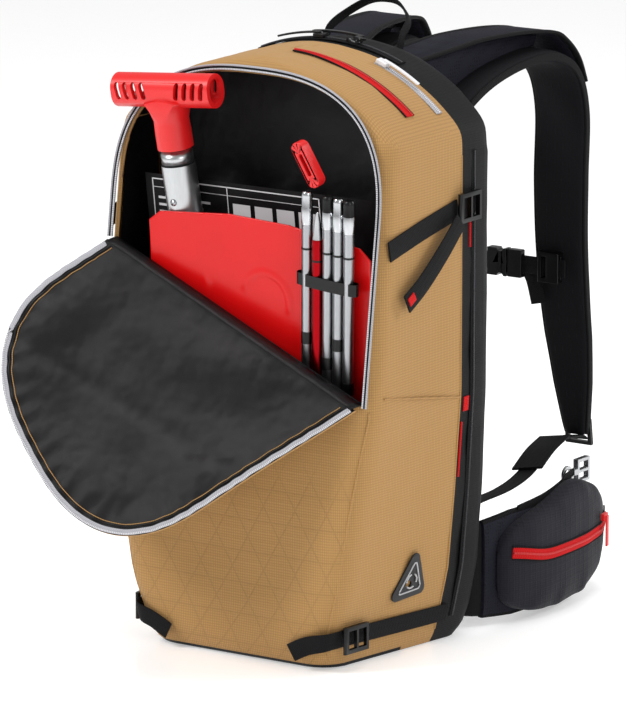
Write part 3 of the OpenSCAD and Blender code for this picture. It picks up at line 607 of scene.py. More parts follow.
def to_outline(x, s, outline):
    """Distance from a point to an outline, in millimetres."""
    best = 1e9
    p = Vector((x, s))
    for a, b in zip(outline, outline[1:] + outline[:1]):
        a, b = Vector(a), Vector(b)
        e = b - a
        f = max(0.0, min(1.0, (p - a).dot(e) / max(e.length_squared, 1e-9)))
        best = min(best, (p - a - e * f).length)
    return best


def inside(x, s, outline):
    hit = False
    for (x0, y0), (x1, y1) in zip(outline, outline[1:] + outline[:1]):
        if (y0 > s) != (y1 > s) and x < (x1 - x0) * (s - y0) / (y1 - y0) + x0:
            hit = not hit
    return hit


# ---- Shell and lining --------------------------------------------------------------------------
DOME_RINGS = 26
# How near the opening's plane the front panel's skin lies, and where the dome's corner is rounded.
FRONT_NEAR = 10
CORNER_REACH = 26
SEAM_WIDTH = 5
FACE, LATTICE, TOP, BACK = range(4)
# The lining's gap from the shell, the pocket's back wall and its floor.
LINING_GAP = 4.8
WALL_Y = -9.6
WALL_X = 146
POCKET_Z = 108
# The printed panel on the sleeve: its edges and the thickness of its rule.
PANEL = (-126, 66, 250, 334)
RULE = 1.2


def ring(z, w, t):
    """Points round the body at height z, evenly filled between its corners."""
    wf = w - between(z, FRONT_TAPER)
    yf, yb = front_at(z) + t, back_at(z) - t
    rf = min(between(z, FRONT_CORNER) - t, wf * 0.9)
    rb = min(BACK_CORNER - t, w * 0.9)
    corners = ((w - rb, yb - rb, rb, 0, 22), (rb - w, yb - rb, rb, 90, 18),
               (rf - wf, yf + rf, rf, 180, 28), (wf - rf, yf + rf, rf, 270, 18))
    arcs = [[(cx + r * math.cos(math.radians(a0 + 15 * k)), cy + r * math.sin(math.radians(a0 + 15 * k)))
             for k in range(7)] for cx, cy, r, a0, _ in corners]
    out = []
    for k, arc in enumerate(arcs):
        out += arc
        a, b, n = arc[-1], arcs[(k + 1) % 4][0], corners[k][4]
        out += [(a[0] + (b[0] - a[0]) * i / n, a[1] + (b[1] - a[1]) * i / n) for i in range(1, n)]
    return [Vector((x, y, z)) for x, y in out]


def skin(t):
    """A closed mesh of the body's face, moved inwards by t."""
    levels = [t, t + 1.5, t + 4, 8, 12] + [12 + 6 * k for k in range(1, 82)
                                           if 12 + 6 * k < DOME_START - t - 2]
    rings = [ring(z, half_w(z) - t, t) for z in levels]
    for k in range(DOME_RINGS):
        a = DOME_EDGE * (1 - k / (DOME_RINGS - 0.4))
        rings.append(ring(DOME_Z + (DOME_R - t) * math.cos(a), (DOME_R - t) * math.sin(a), t))
    cols = len(rings[0])
    bm = bmesh.new()
    surface(bm, len(rings) - 1, cols, lambda i, j: rings[i][j % cols])
    close_mesh(bm)
    return bm


def opening_place(p):
    """Where a point in millimetres lies in the opening's plane: x, s up it and n out of it."""
    y, z = p.y + FRONT_Y, p.z - FOLD_Z
    return (p.x, y * math.sin(LEAN) + z * math.cos(LEAN), -y * math.cos(LEAN) + z * math.sin(LEAN))


def cut_opening(bm, grow=0.0):
    """Opens the tool pocket in a skin near the opening's plane, with its outline grown by grow."""
    outline = [(x * (1 + grow / OPEN_HALF), s * (1 + grow / OPEN_RISE)) for x, s in opening_outline(4)]
    out = on_opening(0, 0, 1) - on_opening(0, 0, 0)
    for a, b in zip(outline, outline[1:] + outline[:1]):
        if (Vector(b) - Vector(a)).length < 0.01:
            continue
        low, high = on_opening(a[0], a[1], 0), on_opening(b[0], b[1], 0)
        middle, reach = (low + high) / 2, (high - low).length / 2 + 20
        faces = [f for f in bm.faces if f.normal.y < -0.2
                 and (f.calc_center_median() / MM - middle).length < reach
                 and abs(opening_place(f.calc_center_median() / MM)[2]) < FRONT_NEAR]
        geom = list({v for f in faces for v in f.verts} | {e for f in faces for e in f.edges}) + faces
        slice_at(bm, low, (high - low).cross(out).normalized(), geom=geom)
    gone = []
    for f in bm.faces:
        x, s, n = opening_place(f.calc_center_median() / MM)
        if abs(n) < FRONT_NEAR and f.normal.y < -0.2 and inside(x, s, outline):
            gone.append(f)
    bmesh.ops.delete(bm, geom=gone, context="FACES")


def crease(p, depth):
    """Slack of laid fabric at a point in millimetres: broad swells with a few finer folds."""
    q = Vector(p)
    return depth * (0.7 * noise.noise(q / 62.0) + 0.35 * noise.noise(q / 23.0 + Vector((7, 3, 1))))


def build_shell():
    depth = bpy.context.scene.pack_sizes.slack / MM
    bm = skin(0)
    for v in bm.verts:
        p = v.co / MM
        _, s, n = opening_place(p)
        calm = 0.0 if abs(n) < 12 and s > 0 else 1.0
        calm *= smoothstep(2, 30, p.z) * smoothstep(0, 26, abs(p.y - COVER_FRONT) + 8)
        if p.y > COVER_BACK:
            calm *= 0.4
        on_side = abs(p.x) > 110 and p.y < 40
        seam = math.exp(-((p.z - side_seam_z(p.y)) / SEAM_WIDTH) ** 2) if on_side else 0.0
        v.co += v.normal * (crease(p, depth) * calm - 0.8 * seam) * MM
    corner = [v for v in bm.verts if abs(v.co.z / MM - DOME_START) < CORNER_REACH]
    for _ in range(10):
        bmesh.ops.smooth_vert(bm, verts=corner, factor=0.5, use_axis_x=True, use_axis_y=False,
                              use_axis_z=True)
    for y in (COVER_FRONT, COVER_BACK):
        slice_at(bm, (0, y, 0), (0, 1, 0))
    cut_opening(bm)
    for f in bm.faces:
        p = f.calc_center_median() / MM
        if p.y > COVER_FRONT or (p.z < 3 and f.normal.z < -0.5):
            f.material_index = BACK
        elif f.normal.z > 0.55:
            f.material_index = TOP
        elif f.normal.y < -0.7 and p.z < 300:
            f.material_index = LATTICE
        else:
            f.material_index = FACE
    piece("pack_shell", bm, "pack", ["tan_ripstop", "tan_lattice", "tan_top", "cordura"],
          ("front_panel", "side_panel_left", "side_panel_right", "top_panel", "base_panel",
           "airbag_cover", "back_panel"), sharp=50, thick=2.6)


def side_seam_z(y):
    """Height of the seam across the side, which rises to the front."""
    return 247 + (36 - y) * 0.17


def side_line(points, lift, k):
    """Points on the side wall given as (y, z), lifted off it."""
    return [Vector((k * (side_w(y, z) + lift), y, z)) for y, z in points]


def build_seams():
    bm = bmesh.new()
    for _, k in SIDES:
        corner = []
        for z in range(10, 262, 6):
            r = between(z, FRONT_CORNER)
            w = half_w(z) - between(z, FRONT_TAPER)
            corner.append(Vector((k * (w - r * 0.3), front_at(z) + r * 0.3 - 0.1, z)))
        tube(bm, even(corner, 5), 2.4)
        across = side_line([(y, side_seam_z(y)) for y in range(-84, 47, 5)], 0.1, k)
        tube(bm, even(across, 5), 2.0)
        edge = side_line([(COVER_FRONT - 0.5, z) for z in range(14, 481, 8)], 0.1, k)
        tube(bm, even(edge, 6), 2.2)
    close_mesh(bm)
    piece("felled_seams", bm, "pack", ["tan_ripstop"])
    # The line along which the airbag's cover tears open: a coil between two bound edges.
    bm = bmesh.new()
    for _, k in SIDES:
        line = side_line([((COVER_FRONT + COVER_BACK) / 2, z) for z in range(24, 481, 8)], 0.6, k)
        sweep(bm, even(line, 5), (0, 1, 0), flat_section(9, 1.6))
        tube(bm, even([p + Vector((k * 0.9, 0, 0)) for p in line], 5), 2.2, mat=1)
    close_mesh(bm)
    piece("burst_zip", bm, "pack", ["binding", "black_coil"])
    bm = bmesh.new()
    for _, k in SIDES:
        for y, low, high in ((COVER_FRONT + 4, 166, 225), (COVER_FRONT + 14, 388, 432)):
            tube(bm, even(side_line([(y, z) for z in range(low, high, 6)], 0.6, k), 5), 2.2)
        line = side_line([(COVER_FRONT + 10, z) for z in (230, 237, 244)], 0.6, k)
        sweep(bm, even(line, 4), (0, 1, 0), flat_section(9, 1.2))
    close_mesh(bm)
    piece("red_piping", bm, "pack", ["red_webbing"])


def build_lining():
    bm = skin(LINING_GAP)
    cut_opening(bm, 5)
    slice_at(bm, (0, -9, 0), (0, 1, 0), True)
    slice_at(bm, (0, 0, POCKET_Z), (0, 0, -1), True)
    for v in bm.verts:
        _, s, n = opening_place(v.co / MM)
        if abs(n) > 9 or s < -5:
            away = v.normal if v.normal.dot(v.co - Vector((0, -0.02, v.co.z))) > 0 else -v.normal
            calm = 1 - smoothstep(400, 460, v.co.z / MM)
            v.co -= away * (0.2 + (0.8 + abs(crease(v.co / MM, 2.4))) * calm) * MM
    for f in bm.faces:
        f.smooth = True
    piece("pocket_lining", bm, "pack", ["lining"], ("pocket_liner",), sharp=60)
    build_divider()
    build_printed_panel()


def build_divider():
    """The pocket's back wall, its floor and the sleeve that the tools stand in."""
    rows, cols = 50, 70

    def wall(i, j):
        z = POCKET_Z + (DOME_START + 52 - POCKET_Z) * i / rows
        half = min(WALL_X, math.sqrt(max(0.0, (DOME_R - 8) ** 2 - max(0.0, z - DOME_Z) ** 2)))
        half = min(half, side_w(WALL_Y, z) - 4.5) if z < DOME_START else half
        x = max(-half, min(half, -WALL_X + 2 * WALL_X * j / cols))
        return x, WALL_Y + min(0.0, crease((x, 0, z), 3.2)) * (1 if z > 440 else 0.2), z

    def sleeve(i, j):
        x = -WALL_HALF + 2 * WALL_HALF * j / 50
        z = 6 + 332 * i / 40
        return in_pocket(x, TUBE_R + 2.2 + 0.5 * noise.noise(Vector((x, z, 0)) / 40.0), z)

    bm = bmesh.new()
    surface(bm, rows, cols, wall)
    bmesh.ops.remove_doubles(bm, verts=bm.verts, dist=1e-6)
    surface(bm, 8, 24, lambda i, j: (-118 + 236 * j / 24, -70 + 60 * i / 8, POCKET_Z + 1.6))
    surface(bm, 40, 50, sleeve)
    bmesh.ops.recalc_face_normals(bm, faces=bm.faces)
    piece("pocket_divider", bm, "pack", ["lining"], ("tool_sleeve",), sharp=60)


def build_printed_panel():
    """A generic printed panel on the sleeve: an outline, a divider and plain bars, with no words."""
    left, right, low, high = PANEL
    bars = [(left, right, high - RULE, high), (left, right, low, low + RULE), (left, left + RULE, low, high),
            (right - RULE, right, low, high), (-40, -39, low, high), (left, right, high - 9, high - 8.4)]
    bars += [(-34 + k * 25, -14 + k * 25, high - 40, high - 16) for k in range(4)]
    bars += [(left + 6, left + 66 - 9 * (row % 3), high - 20 - 7 * row, high - 17.6 - 7 * row)
             for row in range(6)]
    bars += [(-34, 54 - 12 * row, high - 50 - 6 * row, high - 48 - 6 * row) for row in range(3)]
    bm = bmesh.new()
    for x0, x1, z0, z1 in bars:
        surface(bm, 1, 1, lambda i, j: in_pocket(x0 + (x1 - x0) * j, TUBE_R + 1.2, z0 + (z1 - z0) * i))
    bmesh.ops.recalc_face_normals(bm, faces=bm.faces)
    piece("printed_panel", bm, "pack", ["print"])


# ---- Opening and flap --------------------------------------------------------------------------
# The cosine of the fold's slant, and the half gap between the flap's two cloths.
FOLD_COS = 0.917
CLOTH_HALF = 1.5
# The cloth that it is cut from, in millimetres.
FLAP_CLOTH = (304, 306)


def arch_line(offset, n, spacing=4):
    """The opening's free edge, from the fold's right end to its left, moved out by offset."""
    outline = opening_outline(3)
    out = []
    for k, (x, s) in enumerate(outline):
        a, b = outline[max(k - 1, 0)], outline[min(k + 1, len(outline) - 1)]
        edge = Vector((b[0] - a[0], b[1] - a[1])).normalized()
        out.append(Vector((x + edge.y * offset, s - edge.x * offset, n)))
    return even(out, spacing)


def zip_along(name, line, across, body, tape, w, replaced, piping=None):
    """A zip half along line: a woven tape, its coil and, where asked, a bead of piping."""
    bm = bmesh.new()
    sweep(bm, line, across, flat_section(w, 1.0))
    ways = frames(line, across)
    tube(bm, [p + e1 * (w / 2 - 1.2) + e2 * 0.5 for p, (_, e1, e2) in zip(line, ways)], 1.9, mat=1)
    if piping:
        tube(bm, [p - e1 * (w / 2 - 0.6) + e2 * 0.5 for p, (_, e1, e2) in zip(line, ways)], piping, mat=2)
    close_mesh(bm)
    return piece(name, bm, body, [tape, "zip_coil", "grey_tape"], replaced)


def inward(line, place, centre):
    """For each point of a plane line, the unit way to its left or right that leads to centre."""
    out = []
    for k, p in enumerate(line):
        t = line[min(k + 1, len(line) - 1)] - line[max(k - 1, 0)]
        e = Vector((t.y, -t.x, 0)).normalized()
        if e.dot(centre - p) < 0:
            e = -e
        out.append(place(p + e) - place(p))
    return out


def build_opening():
    def put(p):
        return on_opening(p.x, p.y, p.z)

    line = arch_line(3.6, 2.0)
    zip_along("opening_zip", [put(p) for p in line], inward(line, put, Vector((0, 150, 0))), "pack",
              "binding", 5.6, ("opening_zip_tape",), 2.0)


def above_fold(x, s):
    """Distance up from the slanted fold to a point of the flap."""
    return (s - FOLD_RISE * (OPEN_HALF - x) / (2 * OPEN_HALF)) * FOLD_COS


def flap_matrix():
    size = bpy.context.scene.pack_sizes
    end = Vector((OPEN_HALF, 0, FOLD_GAP))
    turn = Matrix.Rotation(size.flap_open, 4, Vector((2 * OPEN_HALF, -FOLD_RISE, 0)))
    return Matrix.Translation(end) @ turn @ Matrix.Translation(-end)


def flap_outline():
    rise = 4 / math.cos(math.atan(FOLD_RISE / (2 * OPEN_HALF)))
    return [(OPEN_HALF, rise)] + opening_outline(4)[1:-1] + [(-OPEN_HALF, FOLD_RISE + rise)]


def flap_height(x, s, outline):
    """Puckers along the flap's sewn edge, soft swells inside it and one long crease."""
    d = to_outline(x, s, outline)
    fold = above_fold(x, s)
    a = math.atan2(s - 130, x)
    edge = 1.8 * math.exp(-d / 15) * math.sin(46 * a + 3 * noise.noise(Vector((x, s, 0)) / 30))
    edge *= smoothstep(0, 40, fold) * smoothstep(0, 6, d)
    swell = 4.5 * noise.noise(Vector((x, s, 4)) / 74) * smoothstep(0, 30, d)
    line = (x * 0.45 + s * 0.89) - 178
    ridge = 1.6 * math.exp(-(line / 7) ** 2) * smoothstep(0, 30, d)
    bow = 7 * smoothstep(0, 120, fold) * (1 - smoothstep(0, 90, d))
    return edge + swell - ridge + bow


def build_flap():
    turn = flap_matrix()
    outline = flap_outline()

    def put(p):
        q = turn @ p
        return on_opening(q.x, q.y, q.z)

    bm = bmesh.new()
    bmesh.ops.create_grid(bm, x_segments=64, y_segments=66, size=0.5)
    for v in bm.verts:
        v.co = Vector((v.co.x * FLAP_CLOTH[0], (v.co.y + 0.5) * FLAP_CLOTH[1], 0)) * MM
    clip(bm, outline)
    inner = bmesh.ops.duplicate(bm, geom=bm.verts[:] + bm.edges[:] + bm.faces[:])["geom"]
    inner_verts = {g for g in inner if isinstance(g, bmesh.types.BMVert)}
    for g in inner:
        if isinstance(g, bmesh.types.BMFace):
            g.material_index = 1
    for v in bm.verts:
        p = v.co / MM
        lift = flap_height(p.x, p.y, outline)
        n = FOLD_GAP + (CLOTH_HALF if v in inner_verts else -CLOTH_HALF) - lift
        v.co = put(Vector((p.x, p.y, n))) * MM
    bmesh.ops.bridge_loops(bm, edges=[e for e in bm.edges if e.is_boundary])
    bmesh.ops.recalc_face_normals(bm, faces=bm.faces)
    flap = piece("flap_cloth", bm, "flap", ["lining", "tan_ripstop"], ("flap_panel",), sharp=45)

    # The lining runs on over the fold, from the pocket to the flap.
    bm = bmesh.new()

    def gusset(i, j):
        x = OPEN_HALF - 2 - (2 * OPEN_HALF - 4) * j / 40
        s = FOLD_RISE * (OPEN_HALF - x) / (2 * OPEN_HALF)
        low, high = on_opening(x, s + 1, -1.5), put(Vector((x, s + 7, FOLD_GAP - 2.6)))
        return low.lerp(high, i / 4) + (on_opening(0, 0, 1) - on_opening(0, 0, 0)) * 3 * math.sin(
            math.pi * i / 4)

    surface(bm, 4, 40, gusset)
    bmesh.ops.recalc_face_normals(bm, faces=bm.faces)
    fold = piece("fold_lining", bm, None, ["lining"], sharp=60, thick=0.6)
    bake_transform(fold)

    def edge(inset, off, spacing=4):
        line = []
        for p in arch_line(-inset, 0, spacing):
            if above_fold(p.x, p.y) > 6:
                line.append(Vector((p.x, p.y, FOLD_GAP - off - flap_height(p.x, p.y, outline))))
        return line

    line = edge(3.2, 2.4)
    zip_along("flap_zip", [put(p) for p in line], inward(line, put, Vector((900, 1500, 0))), "flap",
              "grey_tape", 5.5, ("flap_zip_tape",))
    bm = bmesh.new()
    for slot, (inset, d) in enumerate(((11, 0.9), (8.6, 1.2))):
        tube(bm, [put(p) for p in edge(inset, 1.9, 5)], d, mat=slot)
    close_mesh(bm)
    piece("flap_stitching", bm, "flap", ["thread", "lining"])


# ---- Zips on the dome, haul loop ---------------------------------------------------------------
def dome_point(x, y, lift):
    a = math.asin(max(-1.0, min(1.0, x / DOME_R)))
    r = DOME_R + lift
    return Vector((r * math.sin(a), y, DOME_Z + r * math.cos(a)))


def dome_zip(bm, xs, y, tape, coil_bead, lift):
    """A zip across the dome. tape is its width, thickness and slot, coil_bead a diameter and a slot."""
    sweep(bm, [dome_point(x, y, 1.1) for x in xs], (0, 1, 0), flat_section(*tape[:2]), mat=tape[2])
    tube(bm, [dome_point(x, y, lift) for x in xs], coil_bead[0], mat=coil_bead[1])


def build_top_zips():
    bm = bmesh.new()
    xs = [6 + 130 * k / 32 for k in range(33)]
    line = [dome_point(x, -10, 1.1) for x in xs]
    widths = [0.25 + 0.75 * smoothstep(0, 0.5, k / 32) for k in range(33)]
    sweep(bm, line, (0, 1, 0), flat_section(11, 1.3), widths)
    tube(bm, [dome_point(x, -9 + 2 * k / 32, 2.1) for k, x in enumerate(xs)], 2.0, mat=1)
    for side in (-1, 1):
        tube(bm, [dome_point(x, -10 + side * (5.9 * widths[k] + 0.5), 1.0) for k, x in enumerate(xs)],
             1.7, mat=2)
    dome_zip(bm, [70 + 70 * k / 20 for k in range(21)], 34, (9, 1.3, 3), (2.0, 4), 1.9)
    dome_zip(bm, [-80 + 160 * k / 40 for k in range(41)], 62, (13, 1.4, 2), (2.4, 5), 2.0)
    close_mesh(bm)
    piece("dome_zips", bm, "pack",
          ["red_webbing", "red_coil", "binding", "grey_tape", "zip_coil", "black_coil"], ("top_zips",))
    for name, look in (("white_zip_slider", "white"), ("main_zip_slider_left", "buckle"),
                       ("main_zip_slider_right", "buckle")):
        refined(name, look, 0.6)


# The right foot of the haul loop.
HAUL_FOOT = (42, BACK_Y + 6.2, 557)


def build_haul_loop():
    up = Vector((0, 0.69, 0.72))
    x, y, z = HAUL_FOOT
    arch = [Vector((end, y, z)) + up * rise for end, rise in ((6 - x, 36), (-18, 53), (0, 57), (18, 53),
                                                              (x - 6, 36))]
    path = [(-x, y, z), (-x, y + 5, z + 14)] + arch + [(x, y + 5, z + 14), (x, y, z)]
    band("haul_webbing", path, 10, 2.4, (0, 0.72, -0.69), "webbing", "haul_loop", ("haul_loop",), 3)


# ---- Straps and buckles on the body ------------------------------------------------------------
# Half the width over the side straps: the wall, two gaps of 0.4 mm and half a strap.
SIDE_X = PACK_W / 2 + 0.4 + 0.9 + 0.4
BASE_STRAP_Z = 31.0


def build_side_trim():
    for word, _ in SIDES:
        refined("compression_buckle_" + word, "buckle", 0.7)
        refined("base_buckle_" + word, "buckle", 0.7)
    # Each run: its points, their spacing, the strap's width and thickness, and its finish.
    runs = (([(SIDE_X, -78, 406), (SIDE_X, -20, 418), (SIDE_X - 0.3, 39, 428)], 4, 20, 1.8, 0),
            ([(SIDE_X + 8.4, 31, 419), (SIDE_X + 8.4, 4, 396), (SIDE_X + 7.4, -30, 370),
              (SIDE_X + 6.6, -58, 354)], 4, 20, 1.8, 0),
            ([(SIDE_X + 8.2, -47, 360.5), (SIDE_X + 8.0, -56, 355.3)], 3, 9, 1.2, 1),
            ([(SIDE_X + 1.1, 60, 429), (SIDE_X + 1.1, 78, 431)], 4, 18, 1.6, 0))
    bm = bmesh.new()
    for _, k in SIDES:
        for points, spacing, w, t, slot in runs:
            sweep(bm, spline(mirrored(points, k), spacing), (0, 0, 1), flat_section(w, t), mat=slot)
    close_mesh(bm)
    piece("compression_webbing", bm, "pack", ["webbing", "red_webbing"], ("compression_straps",))
    z = BASE_STRAP_Z
    fx = half_w(z) - between(z, FRONT_TAPER)
    fy = front_at(z)
    off = 2.2
    strap = [(fx - 42, fy - off - 0.4, z - 14), (fx - 24, fy - off - 0.8, z - 5),
             (fx - 4, fy + 4 - off, z), (side_w(fy + 28, z) + off + 1, fy + 28, z + 1),
             (side_w(-20, z) + off + 0.6, -20, z), (side_w(56, z) + off + 0.6, 56, z - 1)]
    bm = bmesh.new()
    for _, k in SIDES:
        sweep(bm, spline(mirrored(strap, k), 4), (0.2 * k, -0.1, 1), flat_section(18, 1.8))
    close_mesh(bm)
    piece("base_webbing", bm, "pack", ["webbing"], ("base_straps",))
    build_patch()


def build_patch():
    refined("side_patch", "rubber", 0.5)
    z0, y0 = 78.0, -8.0

    def place(p):
        return Vector((side_w(y0 + p.y, z0 + p.z) + 3.0, y0 + p.y, z0 + p.z))

    bm = bmesh.new()
    # A raised rim and a plain three-bar ring, in place of the maker's sign.
    rim = [(-16, -15.5), (16, -13.5), (4, 16.5)]
    loop = []
    for k in range(3):
        a, b, c = (Vector(rim[(k + d) % 3]) for d in (-1, 0, 1))
        for f in (0.14, 0.09):
            loop.append(b.lerp(a, f))
        for f in (0.09, 0.14):
            loop.append(b.lerp(c, f))
    loop = [place(Vector((0, p.x, p.y))) for p in loop + loop[:1]]
    tube(bm, even(loop, 1.5), 1.5)
    for k in range(3):
        a = math.radians(90 + 120 * k)
        arc = [place(Vector((0, 0.8 + 7 * math.cos(a + f), -4 + 7 * math.sin(a + f))))
               for f in (0.25, 0.6, 0.95, 1.3, 1.65)]
        tube(bm, spline(arc, 1.5), 1.7)
    close_mesh(bm)
    piece("patch_relief", bm, "pack", ["pale_rubber"])


# ---- Harness -----------------------------------------------------------------------------------
STRAP_ROUTE = [(62, 119, 450), (65, 132, 486), (70, 178, 516), (76, 236, 531), (82, 288, 533),
               (87, 322, 514), (90, 335, 472), (90, 334, 405), (90, 336, 340), (90, 344, 277),
               (90, 356, 215), (90, 366, 156), (90, 369.5, 141)]
YOKE_ROUTE = [(36, 118.5, 548), (48, 154, 554), (60, 200, 560), (71, 258, 560), (79, 298, 555),
              (83, 317, 543), (86.5, 331, 525), (89, 340, 500)]
WEBBING_ROUTE = [(90, 372, 133.5), (92, 357, 139), (98, 300, 143), (108, 243, 126), (116, 190, 121),
                 (118, 136, 120), (116, 116, 117)]
STRAP_WIDTHS = [64, 64, 62, 58, 58, 58, 58, 58, 56, 54, 50, 40, 24]


def build_shoulder():
    for word, k in SIDES:
        line = spline(mirrored(STRAP_ROUTE, k), 6)
        widths = [w / 58 for w in stretched(STRAP_WIDTHS, len(line))]
        bm = bmesh.new()
        sweep(bm, line, (1, 0, 0), pad_section(56, 13.4, 24, 0.45), widths)
        close_mesh(bm)
        for f in bm.faces:
            f.smooth = True
        piece("shoulder_pad_" + word, bm, "pack", ["black_mesh"], ("shoulder_strap_" + word,))
        bm = bmesh.new()
        bind(bm, line, (1, 0, 0), 28, pad_section(8, 4.4, 10), widths)
        close_mesh(bm)
        piece("shoulder_binding_" + word, bm, "pack", ["binding"])
    bm = bmesh.new()
    for _, k in SIDES:
        line = spline(mirrored(YOKE_ROUTE, k), 5)
        sweep(bm, line, (1, 0, 0), flat_section(48, 2.4),
              ripple=lambda along, across: 1.2 * math.sin(along / 17) * (1 - (across / 26) ** 2))
        bind(bm, line, (1, 0, 0), 24, pad_section(7, 3.6, 10), flat=True, mat=1)
    close_mesh(bm)
    piece("yoke_cloth", bm, "pack", ["air_mesh", "binding"], ("yoke_panels",))
    # Panels that close the yoke between the strap and the top layer.
    bm = bmesh.new()
    for _, k in SIDES:
        top = spline(mirrored([(66, 122, 549), (69, 180, 556), (76, 250, 557), (81, 300, 551)], k), 8)
        low = spline(mirrored([(66, 122, 470), (69, 150, 497), (76, 215, 520), (81, 300, 538)], k), 8)
        surface(bm, min(len(top), len(low)) - 1, 8, lambda i, j: top[i].lerp(low[i], j / 8)
                + Vector((k * 3 * math.sin(math.pi * j / 8), 0, 0)))
    bmesh.ops.recalc_face_normals(bm, faces=bm.faces)
    piece("yoke_gusset", bm, "pack", ["air_mesh"], thick=1.2)
    refined("strap_ladder_locks", "buckle", 0.6)
    bm = bmesh.new()
    for _, k in SIDES:
        across = (1, 0, 0.12 * k)
        sweep(bm, spline(mirrored(WEBBING_ROUTE, k), 4), across, flat_section(20, 1.8))
        patch = mirrored([(96, 316, 146.5), (102, 280, 140.5), (108, 246, 129.5)], k)
        sweep(bm, spline(patch, 4), across, flat_section(34, 2.6))
    close_mesh(bm)
    piece("shoulder_webbing_cloth", bm, "pack", ["webbing"], ("shoulder_webbing",))


# Where the sternum buckle's two halves end across the chest.
BUCKLE_ENDS = (20, 51)


def build_sternum():
    for name, bevel in (("sternum_sliders", 0.8), ("sternum_buckle_female", 1.2),
                        ("sternum_buckle_male", 1.0)):
        refined(name, "buckle", bevel)
    low, high = (Vector(v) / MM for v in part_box("sternum_webbing"))
    mid = (low + high) / 2
    bm = bmesh.new()
    for x0, x1 in ((low.x, BUCKLE_ENDS[0]), (BUCKLE_ENDS[1], high.x)):
        line = even([Vector((x0, mid.y, mid.z)), Vector((x1, mid.y, mid.z))], 4)
        sweep(bm, line, (0, 0, 1), flat_section(18, 1.9))
    tail = spline([(52, mid.y + 7, mid.z - 2), (60, mid.y + 8, mid.z - 16), (66, mid.y + 9, mid.z - 40)], 4)
    sweep(bm, tail, (0.95, 0, 0.3), flat_section(17, 1.6))
    close_mesh(bm)
    piece("sternum_webbing_cloth", bm, "sternum", ["webbing"], ("sternum_webbing",))


# The two columns of cushions on the back: their middle, and each one's foot and head.
CUSHION_X = 62
CUSHIONS = ((140, 210), (222, 292), (304, 374), (386, 430))


def cushion(v, u, k, low, high):
    """A point of a cushion, u across it and v up it, both from -1 to 1."""
    x = CUSHION_X * k + 46 * u * (1 - 0.08 * v * v)
    z = (low + high) / 2 + (high - low) / 2 * v * (1 - 0.05 * u * u)
    return x, BACK_Y + 0.3 + 9.5 * (1 - abs(u) ** 3) * (1 - abs(v) ** 3), z


def build_back():
    bm = bmesh.new()
    for k in (-1, 1):
        for low, high in CUSHIONS:
            surface(bm, 16, 16, lambda i, j: cushion(i / 8 - 1, j / 8 - 1, k, low, high))
            surface(bm, 1, 1, lambda i, j: (CUSHION_X * k + 42 * (2 * j - 1), BACK_Y + 0.2,
                                            low + 3 + (high - low - 6) * i))

    def lumbar(i, j):
        u, v = j / 28 * 2 - 1, i / 16 * 2 - 1
        rise = 31 * (1 - abs(u) ** 4) * (1 - abs(v) ** 3) * (1 - 0.25 * math.exp(-(u / 0.12) ** 2))
        return 96 * u * (1 - 0.1 * v * v), BACK_Y + 0.3 + rise, 60 + 54 * v * (1 - 0.1 * u * u)

    surface(bm, 16, 28, lumbar)
    bmesh.ops.remove_doubles(bm, verts=bm.verts, dist=1e-6)
    bmesh.ops.recalc_face_normals(bm, faces=bm.faces)
    piece("back_cushions", bm, "pack", ["air_mesh"], ("back_pads",), sharp=60, levels=1)
    for name, look in (("frame_sheet", "frame_plastic"), ("frame_stays", "aluminium"),
                       ("airbag_bladders", "bladder"), ("inflator_body", "buckle"),
                       ("pressure_gauge", "aluminium"), ("gas_cylinder", "aluminium"),
                       ("piercing_pin", "steel"), ("inflator_lever", "red_plastic"),
                       ("trigger_cable", "buckle")):
        for slot in NODES[name].material_slots:
            slot.material = finish(look)
    refined("trigger_housing", "buckle", 0.8)
    refined("trigger_handle", "red_plastic", 1.2)


# ---- Hip belt ----------------------------------------------------------------------------------
WING_Z = 56.0
WING_R = 400.0
WING_MID = (141.0, 215.0)
# The hip bags: where they start along the belt, how long they are and how far off the wing they lie.
BAG_START = -76
BAG_LONG = 204
BAG_OFF = 8.4


def on_belt(off, d, z):
    return (WING_MID[0] - WING_R + math.sqrt((WING_R + off) ** 2 - d * d), WING_MID[1] + d, z)


def bag_span(f):
    """The middle and half height of a hip bag at a share f of its length, and how full it is."""
    top = 103 + 17 * math.exp(-((BAG_LONG * f - 124) / 50) ** 2)
    low = 4 + 60 * max(0.0, f - 0.5) ** 1.7
    end = max(0.0, 1 - abs(2 * f - 1) ** 3.4) ** 0.5
    return (top + low) / 2, (top - low) / 2 * (0.34 + 0.66 * end), end


def bag_at(f, a, b, k):
    """A point on a hip bag, f along it, a up its face and b out of it."""
    middle, half, end = bag_span(f)
    d, z = BAG_START + BAG_LONG * f, middle + a * half
    pucker = 0.9 * math.sin(d / 6.5 + 3 * noise.noise(Vector((d, z, 2)) / 30)) * smoothstep(
        0.55, 0.95, abs(a)) * end
    slump = 1.8 * noise.noise(Vector((d, z, 9)) / 27) * end
    out = BAG_OFF + b * (16 * end + 2) * (1.0 if b > 0 else 0.5) + (slump + pucker if b > 0.2 else 0)
    return Vector(mirrored([on_belt(out, d, z)], k)[0])


